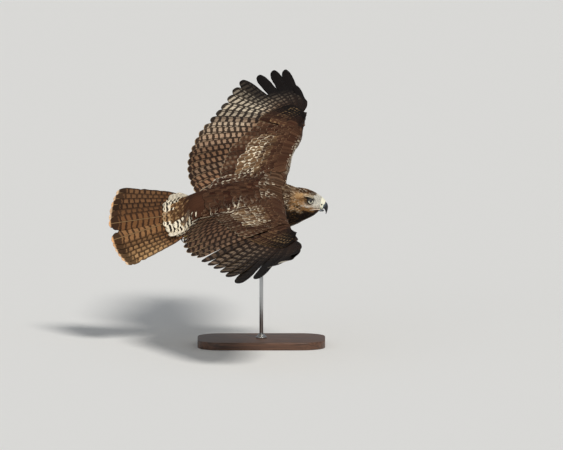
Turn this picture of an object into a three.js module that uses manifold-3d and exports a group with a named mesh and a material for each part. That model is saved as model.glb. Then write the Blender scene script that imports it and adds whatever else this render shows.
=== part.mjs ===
import * as THREE from 'three';
import { mergeVertices } from 'three/addons/utils/BufferGeometryUtils.js';
import Module from 'manifold-3d';

// A young red-tailed hawk in a banked glide, life size, held up on a plain display stand.
// Millimetres and degrees, +Z up. The stand's base rests on the floor, with the middle of its
// underside at the origin. The bird heads along +X, its left wing far and high on the +Y side.

const wasm = await Module();
wasm.setup();

// Gap kept between pieces that touch
const GAP = 0.3;

// Place of the mid-torso over the base, and how the bird flies
const BIRD = { height: 330, behindRod: 40, bank: 23.9, climb: 4.5, heading: -4.9 };

// Torso stations along the bird: x, half width, height above and depth below the midline
const TORSO = {
  back: -112,
  front: 86,
  x: [-112, -92, -60, -20, 22, 60, 86],
  half: [41, 47, 54, 62, 65, 60, 52],
  top: [33, 39, 48, 54, 57, 55, 50],
  bottom: [34, 41, 51, 61, 66, 67, 63],
};

// Head: its centre on the bird, its turn against the bird, and its stations along the skull
const HEAD = {
  centre: [143.5, 0, -3.5],
  heading: -5.7,
  climb: -19.9,
  bank: -21.5,
  back: -22,
  front: 33.5,
  x: [-22, -8, 8, 19, 27.5, 33.5],
  half: [32.5, 33, 31, 26.5, 19.5, 14],
  top: [33.5, 35, 34.5, 32, 28.3, 26],
  bottom: [68, 57, 42, 32, 22.5, 13.5],
};
const EYE = { x: 9.5, y: 22.1, z: 12.3, radius: 8.6 };
// Lids: a ring round each eye. Brow: the ridge over it. Mouth: the crease back from the bill.
const LID = { radius: 6.5, thickness: 1.5, outside: 4.9, turn: 0.3 };
const BROW = {
  path: [[-8, 26.5, 21], [3.5, 28.3, 21.8], [13.5, 26.6, 20.3], [23, 19, 16]], radii: [2.5, 4, 3.6, 1.6],
};
const MOUTH = {
  path: [[14, 26.5, -9], [22, 23, -6.5], [29.5, 17, -4], [37.5, 11.5, -3]], radii: [0.5, 1.3, 1.4, 1.4],
};
// Cere: its length, then half width, top and height of its middle at its back and at its front
const CERE = { length: 9, half: [11.5, 8], top: [19, 14.5], middle: [6.5, 6], nostril: [2.3, 2.2, 1.5] };
const BILL = { tip: [54.5, 0, -12], width: 16, top: 12, gape: -3.2, lowerDepth: 5 };

// Wings: planform measured outward from the shoulder and forward from the wrist's leading edge
const SHOULDER = { x: 129, y: 40, z: 21 };
const WRIST = 205;
const CORE_END = 340;
const LEADING = {
  at: [-40, 0, 55, 121, 170, 205, 270, 334, 400, 488],
  edge: [-34, -27, -20, -14.5, -4, 1, 13.5, 15, 8, -15],
};
// Camber of the arm: its depth, where along the wing it starts to flatten and over how far
const CAMBER = { depth: 14, from: 120, over: 330 };
// Flesh of the wing: its back edge, and how far it stands above and below the surface
const CORE = {
  at: [-40, 0, 90, 150, 205, 280, 340],
  back: [-128, -126, -114, -88, -58, -38, -16],
  top: [24, 22, 16, 12, 9.5, 6, 1.5],
  bottom: [12, 10, 8, 7, 6, 4, 1],
};
// Each wing's pose: rise and tilt of arm and hand, sweep of the hand, bulge of the fold before
// the arm and how far the hand is stretched, then its primaries' width, the share of it that each
// tip keeps and how far each tip lifts
const WINGS = {
  left: {
    side: 1,
    arm: { rise: 11, tilt: 0.2 },
    hand: { rise: -9, tilt: -3.8 },
    sweep: -3.4,
    bulge: [0, 1, 8.5, 5.4, 0, 0],
    stretch: 1,
    width: 48,
    finger: [1, 1, 1, 0.95, 0.85, 0.7, 0.6, 0.56, 0.52, 0.6],
    lift: [0, 0, 1, 3, 7, 8, 9, 15, 16, 8],
  },
  right: {
    side: -1,
    arm: { rise: 12.1, tilt: 6.9 },
    hand: { rise: 14.1, tilt: 8.4 },
    sweep: 7.5,
    bulge: [0, 0, 1, 1, -5, -2],
    stretch: 1.025,
    width: 58,
    finger: [1, 1, 1, 1, 0.95, 0.8, 0.6, 0.5, 0.48, 0.6],
    lift: [0, 0, 0, 0, -3, -10, -2, 22, 28, 14],
  },
};
// Distances out along the wing at which each fold's bulge is given
const FOLD_AT = [0, 100, 165, 210, 260, 320];

// Feather vanes: a row's height over the wing's surface, its roots and its tips, first to last,
// then each vane's width, the share of it outside the shaft, and how far it bows forward
const PRIMARIES = {
  count: 10, height: 0, roots: [[215, -30], [298, -2]], outer: 0.34, bow: [-5, 12],
  // how far each tip lies from the wrist, its angle back from the spar, and the outermost's width
  reach: [232, 242, 260, 289, 316, 353, 367, 372, 368, 279],
  fan: [65.5, 53.6, 43.8, 34.6, 29, 23.1, 15.5, 9.9, 5.7, 2.7],
  outermost: 30,
};
const SECONDARIES = {
  count: 12, height: 0, roots: [[196, -42], [58, -92]], width: 47, outer: 0.42, bow: [-4, -6],
  tips: [249, -46],
};
const GREATER_COVERTS = {
  count: 10, height: 2.9, roots: [[197, -30], [60, -84]], width: 38, outer: 0.45, bow: [-2, -3],
  tips: [222, 14], edge: [-187, 27, 94, 1.66],
};
const MEDIAN_COVERTS = {
  count: 7, height: 5.8, roots: [[190, -22], [66, -62]], width: 36, outer: 0.5, bow: [0, 0],
  tips: [203, 22], edge: [-140, 26, 94, 1.5],
};
const PRIMARY_COVERTS = {
  count: 8, height: 2.9, roots: [[222, -12], [294, 1]], width: 26, outer: 0.4, bow: [-3, 5],
  tips: [256, 361], edge: [-97, 65, 1.35],
};
const ALULA = {
  count: 3, height: 6, roots: [[212, -18], [216, -11]], width: 15, outer: 0.4, bow: [1, 3],
  tips: [250, 284], edge: [-25, 26, 1],
};
// Louvre of a row: how much each millimetre across a vane rises towards its outer edge
const LOUVRE = 0.085;
const VANE = { thickness: 0.65, tip: 0.5, rootWidth: 0.34, fingerFrom: 0.48, liftFrom: 0.5 };

// Tail: its place and turn on the bird, then its fan of paired vanes
const TAIL = {
  base: [-112, 0, -9],
  heading: 2,
  climb: 4.8,
  bank: 31,
  pairs: 6,
  length: 206,
  shorter: 17,
  rootStep: { left: 7.4, right: 5.6 },
  // how far each half fans out, and the parting before it
  spread: { left: 16, right: 13.4 },
  parting: { left: 0, right: 8.4 },
  width: 43,
  step: 1.2,
  louvre: 0.045,
  root: { length: 62, half: 36, top: 3, bottom: 5 },
};

// Legs, folded back under the vent
const LEG = {
  knee: [16, 32, -36],
  heel: [-58, 25, -57],
  ankle: [-116, 19, -46],
  middleHeight: -46,
  thigh: [9, 20, 7],
  shank: [5.2, 4.4, 5],
  pad: [7.5, 6.5, 5.5],
};
// Toes, from the ankle of the left leg: where each leaves the foot, where it bends and where it ends
const TOES = {
  inner: { path: [[-5, -3, -1], [-16, -8, -5], [-25, -10, -9], [-27, -11, -16]], width: 4 },
  middle: { path: [[-6, 0, -1], [-22, -1, -4], [-34, -1, -8], [-37, -1, -16]], width: 3.9 },
  outer: { path: [[-5, 3, -1], [-17, 8, -4], [-27, 10, -8], [-30, 10, -15]], width: 3.5 },
  hind: { path: [[-1, -1, -5], [-5, -4, -12], [-12, -5, -17], [-18, -5, -19]], width: 4 },
};
const CLAW = { length: 14, curl: 7, radii: [2.2, 1.7, 0.4] };

// Stand
const BASE = { length: 300, width: 210, thickness: 18, corner: 60, bevel: 2 };
const ROD = { radius: 4.5, collarRadius: 13, collarHeight: 9, collarRim: 3, collarTop: 2.5 };

const rad = THREE.MathUtils.degToRad;
const lerp = THREE.MathUtils.lerp;
const clamp = THREE.MathUtils.clamp;
const vec = (x, y, z) => new THREE.Vector3(x, y, z);
const smooth = (t) => THREE.MathUtils.smoothstep(t, 0, 1);

// A smooth value through a few stations
function along(stations, values, x) {
  const last = stations.length - 1;
  if (x <= stations[0]) return values[0];
  if (x >= stations[last]) return values[last];
  let i = 0;
  while (x > stations[i + 1]) i += 1;
  const span = stations[i + 1] - stations[i];
  const slope = (k) => {
    const a = Math.max(k - 1, 0);
    const b = Math.min(k + 1, last);
    return (values[b] - values[a]) / (stations[b] - stations[a]);
  };
  const t = (x - stations[i]) / span;
  const t2 = t * t;
  const t3 = t2 * t;
  return values[i] * (2 * t3 - 3 * t2 + 1) + slope(i) * span * (t3 - 2 * t2 + t)
    + values[i + 1] * (3 * t2 - 2 * t3) + slope(i + 1) * span * (t3 - t2);
}

// The turn that a heading, a climb and a bank make
function attitude({ heading = 0, climb = 0, bank = 0 }) {
  return new THREE.Euler(rad(bank), rad(-climb), rad(heading), 'ZYX');
}

// A closed geometry from points and triangles, turned so that its faces point out
function closed(points, faces) {
  let volume = 0;
  for (const [a, b, c] of faces) volume += points[a].dot(points[b].clone().cross(points[c]));
  const index = volume > 0 ? faces : faces.map(([a, b, c]) => [a, c, b]);
  const geometry = new THREE.BufferGeometry().setFromPoints(points);
  geometry.setIndex(index.flat());
  return geometry;
}

// A closed skin over rings of equal count, with a point in the middle of each end
function loft(rings) {
  const count = rings[0].length;
  const points = rings.flat();
  const faces = [];
  for (let k = 0; k < rings.length - 1; k += 1) {
    for (let j = 0; j < count; j += 1) {
      const a = k * count + j;
      const b = k * count + ((j + 1) % count);
      faces.push([a, b, b + count], [a, b + count, a + count]);
    }
  }
  for (const end of [0, rings.length - 1]) {
    const middle = points.length;
    const centre = rings[end].reduce((sum, p) => sum.add(p), vec(0, 0, 0)).divideScalar(count);
    points.push(centre);
    for (let j = 0; j < count; j += 1) {
      const a = end * count + j;
      const b = end * count + ((j + 1) % count);
      faces.push(end === 0 ? [a, middle, b] : [a, b, middle]);
    }
  }
  return closed(points, faces);
}

// An egg-shaped ring: half width, height above and depth below its centre
function eggRing(centre, across, up, half, top, bottom, count) {
  const ring = [];
  for (let j = 0; j < count; j += 1) {
    const angle = (2 * Math.PI * j) / count;
    const rise = Math.sin(angle);
    const point = centre.clone().addScaledVector(across, half * Math.cos(angle));
    ring.push(point.addScaledVector(up, rise * (rise > 0 ? top : bottom)));
  }
  return ring;
}

// A tapering tube along points, with a radius for each of them
function taperedTube(points, radii, sides, steps) {
  const curve = new THREE.CatmullRomCurve3(points);
  const stations = points.map((_, i) => i / (points.length - 1));
  const frames = curve.computeFrenetFrames(steps);
  const rings = [];
  for (let k = 0; k <= steps; k += 1) {
    const t = k / steps;
    const radius = along(stations, radii, t);
    const { normals, binormals } = frames;
    rings.push(eggRing(curve.getPoint(t), normals[k], binormals[k], radius, radius, radius, sides));
  }
  return loft(rings);
}

function solid(geometry) {
  const bare = geometry.clone();
  bare.deleteAttribute('normal');
  bare.deleteAttribute('uv');
  const merged = mergeVertices(bare, 1e-4);
  return new wasm.Manifold(new wasm.Mesh({
    numProp: 3,
    vertProperties: Float32Array.from(merged.attributes.position.array),
    triVerts: Uint32Array.from(merged.index.array),
  }));
}

// The largest closed surface of a solid
function largest(body) {
  return body.decompose().sort((a, b) => b.volume() - a.volume())[0];
}

function geometryOf(body) {
  const { vertProperties, triVerts } = body.getMesh();
  const geometry = new THREE.BufferGeometry();
  geometry.setAttribute('position', new THREE.BufferAttribute(Float32Array.from(vertProperties), 3));
  geometry.setIndex(Array.from(triVerts));
  return geometry;
}

const PAINT = {
  feather: { color: 0x5a4636, roughness: 0.85 },
  flight: { color: 0x7a6248, roughness: 0.7 },
  tail: { color: 0x8a6238, roughness: 0.7 },
  buff: { color: 0xb59a72, roughness: 0.85 },
  horn: { color: 0x3b4148, roughness: 0.35 },
  cere: { color: 0xc3c48a, roughness: 0.5 },
  scale: { color: 0xc9a93c, roughness: 0.6 },
  claw: { color: 0x17171a, roughness: 0.3 },
  eye: { color: 0xd8d3b4, roughness: 0.05 },
  walnut: { color: 0x4a2f1d, roughness: 0.4 },
  steel: { color: 0x9a9da1, roughness: 0.3, metalness: 1 },
};

function named(name, geometry, paint) {
  const mesh = new THREE.Mesh(geometry, new THREE.MeshStandardMaterial(PAINT[paint]));
  mesh.name = name;
  return mesh;
}

// Torso, grown by a clearance where another piece is cut clear of it
function torso(grow = 0) {
  const rings = [];
  const steps = 12;
  const from = TORSO.back - grow;
  const to = TORSO.front + grow;
  for (let k = 0; k <= steps; k += 1) {
    const x = lerp(from, to, k / steps);
    rings.push(eggRing(
      vec(x, 0, 0), vec(0, 1, 0), vec(0, 0, 1),
      along(TORSO.x, TORSO.half, x) + grow,
      along(TORSO.x, TORSO.top, x) + grow,
      along(TORSO.x, TORSO.bottom, x) + grow,
      24,
    ));
  }
  return solid(loft(rings));
}

const headTurn = new THREE.Quaternion().setFromEuler(attitude(HEAD));
const headCentre = vec(...HEAD.centre);
const onHead = (x, y, z) => vec(x, y, z).applyQuaternion(headTurn).add(headCentre);

// Neck: rings that turn from the torso's front face to the back of the head
function neck(grow = 0) {
  const rings = [];
  const steps = 5;
  const start = vec(TORSO.front + GAP - grow, 0, 0);
  const finish = onHead(HEAD.back - GAP + grow, 0, 0);
  const last = TORSO.x.length - 1;
  for (let k = 0; k <= steps; k += 1) {
    const t = k / steps;
    const turn = new THREE.Quaternion().slerp(headTurn, t);
    const centre = start.clone().lerp(finish, t);
    rings.push(eggRing(
      centre, vec(0, 1, 0).applyQuaternion(turn), vec(0, 0, 1).applyQuaternion(turn),
      lerp(TORSO.half[last], HEAD.half[0], smooth(t)) + grow,
      lerp(TORSO.top[last], HEAD.top[0], smooth(t)) + grow,
      lerp(TORSO.bottom[last], HEAD.bottom[0], smooth(t)) + grow,
      24,
    ));
  }
  return solid(loft(rings));
}

// Head, in its own frame: skull and face, eye sockets with lids, brows and the mouth's corner
function head() {
  const rings = [];
  const steps = 9;
  for (let k = 0; k <= steps; k += 1) {
    const x = lerp(HEAD.back, HEAD.front, k / steps);
    rings.push(eggRing(
      vec(x, 0, 0), vec(0, 1, 0), vec(0, 0, 1),
      along(HEAD.x, HEAD.half, x), along(HEAD.x, HEAD.top, x), along(HEAD.x, HEAD.bottom, x),
      24,
    ));
  }
  let body = solid(loft(rings));
  for (const side of [1, -1]) {
    const sided = (path) => path.map(([x, y, z]) => vec(x, side * y, z));
    const lid = new THREE.TorusGeometry(LID.radius, LID.thickness, 6, 14);
    lid.rotateX(Math.PI / 2).rotateZ(-side * LID.turn);
    lid.translate(EYE.x, side * (EYE.y + LID.outside), EYE.z);
    const brow = taperedTube(sided(BROW.path), BROW.radii, 8, 6);
    const socket = new THREE.SphereGeometry(EYE.radius + GAP, 14, 9);
    socket.translate(EYE.x, side * EYE.y, EYE.z);
    const mouth = taperedTube(sided(MOUTH.path), MOUTH.radii, 5, 4);
    body = body.add(solid(lid)).add(solid(brow)).subtract(solid(socket)).subtract(solid(mouth));
  }
  return largest(body);
}

function eye(side) {
  const ball = new THREE.SphereGeometry(EYE.radius, 14, 10);
  return ball.translate(EYE.x, side * EYE.y, EYE.z);
}

// Cere: the soft saddle over the root of the bill, with the two nostrils
function cere() {
  const rings = [];
  const from = HEAD.front + GAP;
  const to = from + CERE.length;
  for (let k = 0; k <= 4; k += 1) {
    const t = k / 4;
    rings.push(eggRing(
      vec(lerp(from, to, t), 0, lerp(...CERE.middle, t)), vec(0, 1, 0), vec(0, 0, 1),
      lerp(...CERE.half, t), lerp(...CERE.top, t), CERE.middle[0] - BILL.gape, 20,
    ));
  }
  let body = solid(loft(rings));
  for (const side of [1, -1]) {
    const nostril = new THREE.SphereGeometry(1, 8, 6).scale(...CERE.nostril);
    nostril.rotateY(0.5).translate(from + CERE.length / 2, side * 9.6, 8.5);
    body = body.subtract(solid(nostril));
  }
  return largest(body);
}

// Upper bill: a horn that curves down to a sharp hook
function billUpper() {
  const from = HEAD.front + CERE.length + 2 * GAP;
  const [tipX, , tipZ] = BILL.tip;
  const middle = CERE.middle[1];
  const curve = new THREE.CubicBezierCurve3(
    vec(from, 0, middle), vec(from + 3.9, 0, middle + 1), vec(tipX - 1.5, 0, 2), vec(tipX, 0, tipZ),
  );
  const rings = [];
  const steps = 9;
  for (let k = 0; k <= steps; k += 1) {
    const t = k / steps;
    const tangent = k === 0 ? vec(1, 0, 0) : curve.getTangent(t);
    const up = vec(-tangent.z, 0, tangent.x);
    const left = 1 - t;
    rings.push(eggRing(
      curve.getPoint(t), vec(0, 1, 0), up,
      0.5 + (BILL.width / 2 - 0.5) * left ** 0.75,
      0.4 + (BILL.top - 0.4) * left ** 1.1, 0.4 + (middle - 0.4 - BILL.gape) * left ** 1.1, 16,
    ));
  }
  return loft(rings);
}

// Lower bill: a shallow scoop below the gape
function billLower() {
  const rings = [];
  const from = HEAD.front + GAP;
  const to = BILL.tip[0] - 7;
  for (let k = 0; k <= 5; k += 1) {
    const t = k / 5;
    const left = Math.sqrt(1 - t * t * 0.96);
    rings.push(eggRing(
      vec(lerp(from, to, t), 0, BILL.gape - 1.2 - 0.4 * left), vec(0, 1, 0), vec(0, 0, 1),
      0.6 + (BILL.width / 2 - 0.4) * left, 0.8, 0.6 + (BILL.lowerDepth - 0.6) * left, 14,
    ));
  }
  return loft(rings);
}

// A wing's curved surface: outward, forward and height above it become a point on the bird
function wingSurface({ side, arm, hand, sweep }) {
  const share = (s) => smooth((s - WRIST + 45) / 90);
  const rise = (s) => rad(lerp(arm.rise, hand.rise, share(s)));
  const camber = (s, c) => {
    const chord = Math.max(60, 262 - 0.42 * Math.max(0, s - 150));
    const depth = CAMBER.depth * (1 - smooth((s - CAMBER.from) / CAMBER.over));
    const part = clamp(-c / chord, 0, 1);
    return depth * 4 * part * (1 - part);
  };
  return (outward, forward, height) => {
    const turn = rad(sweep) * clamp((outward - WRIST + 60) / 90, 0, 1);
    const s = WRIST + (outward - WRIST) * Math.cos(turn) - forward * Math.sin(turn);
    const c = (outward - WRIST) * Math.sin(turn) + forward * Math.cos(turn);
    const steps = 24;
    let y = 0;
    let z = 0;
    for (let k = 0; k < steps; k += 1) {
      const angle = rise(((k + 0.5) * s) / steps);
      y += (Math.cos(angle) * s) / steps;
      z += (Math.sin(angle) * s) / steps;
    }
    const angle = rise(s);
    const tilt = rad(lerp(arm.tilt, hand.tilt, share(s)));
    const normal = vec(0, -Math.sin(angle), Math.cos(angle));
    const point = vec(SHOULDER.x, SHOULDER.y + y, SHOULDER.z + z);
    point.addScaledVector(vec(1, 0, 0), c * Math.cos(tilt)).addScaledVector(normal, c * Math.sin(tilt));
    const h = height + camber(s, c);
    point.addScaledVector(vec(1, 0, 0), -h * Math.sin(tilt)).addScaledVector(normal, h * Math.cos(tilt));
    point.y *= side;
    return point;
  };
}

// Flesh of a wing section at one distance from the shoulder
function coreRing(surface, s, bulge) {
  const front = along(LEADING.at, LEADING.edge, s) + along(FOLD_AT, bulge, s);
  const back = along(CORE.at, CORE.back, s);
  const top = along(CORE.at, CORE.top, s);
  const bottom = along(CORE.at, CORE.bottom, s);
  const parts = [0, 0.06, 0.18, 0.35, 0.6, 0.85, 1];
  const thickness = (p) => (p < 0.3 ? Math.sqrt(1 - (1 - p / 0.3) ** 2) : 1 - ((p - 0.3) / 0.7) ** 1.6);
  const upper = parts.map((p) => surface(s, lerp(front, back, p), (p > 0 ? 1.2 : 0) + top * thickness(p)));
  const lower = parts.slice(1).map((p) => surface(s, lerp(front, back, p), -1.2 - bottom * thickness(p)));
  return [...upper, ...lower.reverse()];
}

// One feather as a thin vane on a curved surface, from root to tip, both outward and forward.
// Both faces are split the same way, so that a curved vane never meets itself.
function vane(surface, root, tip, shape) {
  const { width, outer, height, bow = 0, finger = 1, lift = 0, blunt = 0.85, louvre = LOUVRE } = shape;
  const run = [tip[0] - root[0], tip[1] - root[1]];
  const length = Math.hypot(...run);
  const side = [-run[1] / length, run[0] / length];
  const plain = length > 120 ? [0, 0.3, 0.62, 0.85, 0.95, 1] : [0, 0.4, 0.85, 0.95, 1];
  const stations = finger < 0.8 ? [0, 0.25, 0.48, 0.66, 0.86, 0.96, 1] : plain;
  const points = [];
  for (const t of stations) {
    const end = t > blunt ? Math.sqrt(1 - ((t - blunt) / (1 - blunt)) ** 2) : 1;
    const narrow = lerp(1, finger, smooth((t - VANE.fingerFrom) / 0.17));
    const spread = width * lerp(VANE.rootWidth, 1, smooth(t / 0.38)) * narrow * Math.max(0.22, end);
    const bend = bow * 4 * t * (1 - t);
    const rise = height + lift * Math.max(0, (t - VANE.liftFrom) / (1 - VANE.liftFrom)) ** 2;
    const thick = lerp(VANE.thickness, VANE.tip, t) / 2;
    for (const [edge, face] of [[outer - 1, -1], [outer, -1], [outer, 1], [outer - 1, 1]]) {
      const offset = edge * spread;
      points.push(surface(
        root[0] + run[0] * t + side[0] * (offset + bend),
        root[1] + run[1] * t + side[1] * (offset + bend),
        rise + louvre * offset + face * thick,
      ));
    }
  }
  const faces = [[0, 2, 1], [0, 3, 2]];
  const last = points.length - 4;
  for (let a = 0; a < last; a += 4) {
    const b = a + 4;
    faces.push([a, a + 1, b], [a + 1, b + 1, b]);
    for (const [j, next] of [[1, 2], [2, 3], [3, 0]]) {
      faces.push([a + j, a + next, b + next], [a + j, b + next, b + j]);
    }
  }
  faces.push([last, last + 1, last + 2], [last, last + 2, last + 3]);
  return solid(closed(points, faces));
}

// A row of vanes between its first and last roots, with the tips that a function gives
function row(surface, kind, tipOf, extra = () => ({})) {
  const vanes = [];
  const [first, last] = kind.roots;
  for (let i = 0; i < kind.count; i += 1) {
    const t = i / (kind.count - 1);
    const root = [lerp(first[0], last[0], t), lerp(first[1], last[1], t)];
    const bow = lerp(kind.bow[0], kind.bow[1], t);
    vanes.push(vane(surface, root, tipOf(t, i), { ...kind, bow, ...extra(i) }));
  }
  return vanes;
}

// Trailing edge of the arm, where the secondaries end
function armEdge(s) {
  if (s > 105) return -267 + 38 * ((s - 105) / 143) ** 2;
  return -267 + 22 * ((105 - s) / 105) ** 2;
}

// Edge that a row of arm coverts ends on
function covertEdge([inner, drop, span, power], s) {
  return inner + drop * (Math.max(0, s - 42) / span) ** power;
}

function featherRows(surface, { stretch, lift, finger, width }) {
  const primaryTip = (t, i) => {
    const angle = rad(PRIMARIES.fan[i]);
    const reach = PRIMARIES.reach[i] * stretch;
    return [WRIST + reach * Math.cos(angle), -reach * Math.sin(angle)];
  };
  const onEdge = (kind, edge) => (t) => {
    const s = lerp(kind.tips[0], kind.tips[1], t);
    return [s, edge(s)];
  };
  const onHand = (kind) => (t) => {
    const [inner, drop, power] = kind.edge;
    return [lerp(kind.tips[0], kind.tips[1], t), inner + drop * t ** power];
  };
  return [
    ...row(surface, PRIMARIES, primaryTip, (i) => ({
      finger: finger[i], lift: lift[i], width: i === PRIMARIES.count - 1 ? PRIMARIES.outermost : width,
    })),
    ...row(surface, SECONDARIES, onEdge(SECONDARIES, armEdge)),
    ...row(surface, GREATER_COVERTS, onEdge(GREATER_COVERTS, (s) => covertEdge(GREATER_COVERTS.edge, s))),
    ...row(surface, MEDIAN_COVERTS, onEdge(MEDIAN_COVERTS, (s) => covertEdge(MEDIAN_COVERTS.edge, s))),
    ...row(surface, PRIMARY_COVERTS, onHand(PRIMARY_COVERTS)),
    ...row(surface, ALULA, onHand(ALULA)),
  ];
}

// Wing: the flesh with its feather rows rooted in it, cut clear of the body beside it
function wing(pose, clear) {
  const surface = wingSurface(pose);
  const rings = [];
  const steps = 13;
  for (let k = 0; k <= steps; k += 1) {
    const s = lerp(CORE.at[0], CORE_END, k / steps);
    rings.push(coreRing(surface, s, pose.bulge));
  }
  let body = wasm.Manifold.union([solid(loft(rings)), ...featherRows(surface, pose)]);
  for (const cutter of clear) body = body.subtract(cutter);
  return largest(body);
}

const tailTurn = new THREE.Quaternion().setFromEuler(attitude(TAIL));

// The tail's surface: across, forward and height become a point on the bird
function tailSurface(across, forward, height) {
  return vec(forward, across, height).applyQuaternion(tailTurn).add(vec(...TAIL.base));
}

// Root of the tail, whose first ring lies flat against the torso's back face
function tailCore() {
  const rings = [];
  const steps = 5;
  const { length, half, top, bottom } = TAIL.root;
  const start = vec(TORSO.back - GAP, 0, 0);
  for (let k = 0; k <= steps; k += 1) {
    const t = k / steps;
    const turn = new THREE.Quaternion().slerp(tailTurn, smooth(Math.min(1, t * 1.6)));
    const centre = start.clone().lerp(tailSurface(0, -length, 0), t);
    rings.push(eggRing(
      centre, vec(0, 1, 0).applyQuaternion(turn), vec(0, 0, 1).applyQuaternion(turn),
      lerp(TORSO.half[0] - 1, half, smooth(t)),
      lerp(TORSO.top[0] - 1, top, smooth(t)), lerp(TORSO.bottom[0] - 1, bottom, smooth(t)), 20,
    ));
  }
  return solid(loft(rings));
}

// Tail: the root with six pairs of vanes fanned from it, the middle pair on top
function tail() {
  const vanes = [tailCore()];
  for (const [name, side] of [['left', 1], ['right', -1]]) {
    const surface = (across, forward, height) => tailSurface(side * across, forward, height);
    for (let i = 0; i < TAIL.pairs; i += 1) {
      const part = (i + 0.45) / (TAIL.pairs - 0.55);
      const angle = rad(TAIL.spread[name] * part + TAIL.parting[name]);
      const root = [3 + TAIL.rootStep[name] * i, -6];
      const reach = TAIL.length - TAIL.shorter * part ** 2;
      const tip = [root[0] + reach * Math.sin(angle), root[1] - reach * Math.cos(angle)];
      const height = -TAIL.step * (i + (side < 0 ? 0.85 : 0));
      vanes.push(vane(surface, root, tip, {
        width: TAIL.width, outer: lerp(0.5, 0.36, part), height, blunt: 0.88, louvre: TAIL.louvre,
      }));
    }
  }
  return largest(wasm.Manifold.union(vanes));
}

// Feathered thigh, lying along the belly
function thigh(side, clear) {
  const [kx, ky, kz] = LEG.knee;
  const [hx, hy, hz] = LEG.heel;
  const middle = vec(lerp(kx, hx, 0.5), side * lerp(ky, hy, 0.5), LEG.middleHeight);
  const points = [vec(kx, side * ky, kz), middle, vec(hx, side * hy, hz)];
  let body = solid(taperedTube(points, LEG.thigh, 14, 7));
  for (const cutter of clear) body = body.subtract(cutter);
  return largest(body);
}

// Scaled shank, from inside the end of the thigh to the ankle
function shank(side, grow = 0) {
  const heel = vec(...LEG.heel);
  const ankle = vec(...LEG.ankle);
  const start = heel.clone().lerp(ankle, -0.08 - grow / 60);
  const points = [start, heel.clone().lerp(ankle, 0.5), ankle];
  points.forEach((p) => { p.y *= side; });
  return taperedTube(points, LEG.shank.map((r) => r + grow), 12, 6);
}

function toePath(toe, side) {
  const [ax, ay, az] = LEG.ankle;
  return toe.path.map(([x, y, z]) => vec(ax + x, side * (ay + y), az + z));
}

function foot(side) {
  const [ax, ay, az] = LEG.ankle;
  const pad = new THREE.SphereGeometry(1, 8, 6).scale(...LEG.pad);
  pad.translate(ax - 8.2, side * ay, az - 1);
  let body = solid(pad);
  for (const toe of Object.values(TOES)) {
    body = body.add(solid(taperedTube(toePath(toe, side), [4.4, toe.width, toe.width * 0.9, 2.4], 6, 4)));
  }
  return largest(body);
}

// Claw: a curved cone that carries on from its toe
function claw(toe, side) {
  const points = toePath(toe, side);
  const end = points[3];
  const ahead = end.clone().sub(points[2]).normalize();
  const curl = vec(1, 0, 0).addScaledVector(ahead, -ahead.x).normalize();
  const start = end.clone().addScaledVector(ahead, GAP);
  const middle = start.clone().addScaledVector(ahead, CLAW.length / 2).addScaledVector(curl, CLAW.curl / 7);
  const tip = start.clone().addScaledVector(ahead, CLAW.length).addScaledVector(curl, CLAW.curl);
  return taperedTube([start, middle, tip], CLAW.radii, 6, 4);
}

// Stand: a rounded plate, a collar on it and one rod up to the breast
function standBase() {
  const { length, width, thickness, corner, bevel } = BASE;
  const shape = new THREE.Shape();
  const x = length / 2 - corner;
  const y = width / 2 - corner;
  shape.absarc(x, y, corner, 0, Math.PI / 2);
  shape.absarc(-x, y, corner, Math.PI / 2, Math.PI);
  shape.absarc(-x, -y, corner, Math.PI, 1.5 * Math.PI);
  shape.absarc(x, -y, corner, 1.5 * Math.PI, 2 * Math.PI);
  return new THREE.ExtrudeGeometry(shape, {
    depth: thickness - 2 * bevel,
    bevelThickness: bevel,
    bevelSize: bevel,
    bevelOffset: -bevel,
    bevelSegments: 1,
    curveSegments: 6,
  }).translate(0, 0, bevel);
}

function standCollar() {
  const { radius, collarRadius, collarHeight, collarRim, collarTop } = ROD;
  const hole = radius + GAP;
  const profile = [
    [hole, 0], [collarRadius, 0], [collarRadius, collarRim],
    [hole + collarTop, collarHeight], [hole, collarHeight], [hole, 0],
  ];
  const collar = new THREE.LatheGeometry(profile.map(([r, z]) => new THREE.Vector2(r, z)), 16);
  return collar.rotateX(Math.PI / 2).translate(0, 0, BASE.thickness + GAP);
}

function standRod(bird, clear) {
  const low = BASE.thickness + GAP;
  const rod = new THREE.CylinderGeometry(ROD.radius, ROD.radius, BIRD.height - low, 20);
  rod.rotateX(Math.PI / 2).translate(0, 0, (BIRD.height + low) / 2);
  return largest(solid(rod).subtract(clear.transform(Array.from(bird.matrixWorld.elements))));
}

const model = new THREE.Group();
const bird = new THREE.Group();
bird.position.set(-BIRD.behindRod, 0, BIRD.height);
bird.rotation.copy(attitude(BIRD));
bird.updateMatrixWorld();
const skull = new THREE.Group();
skull.position.copy(headCentre);
skull.quaternion.copy(headTurn);

const torsoClear = torso(GAP);
const neckClear = neck(GAP);

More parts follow.
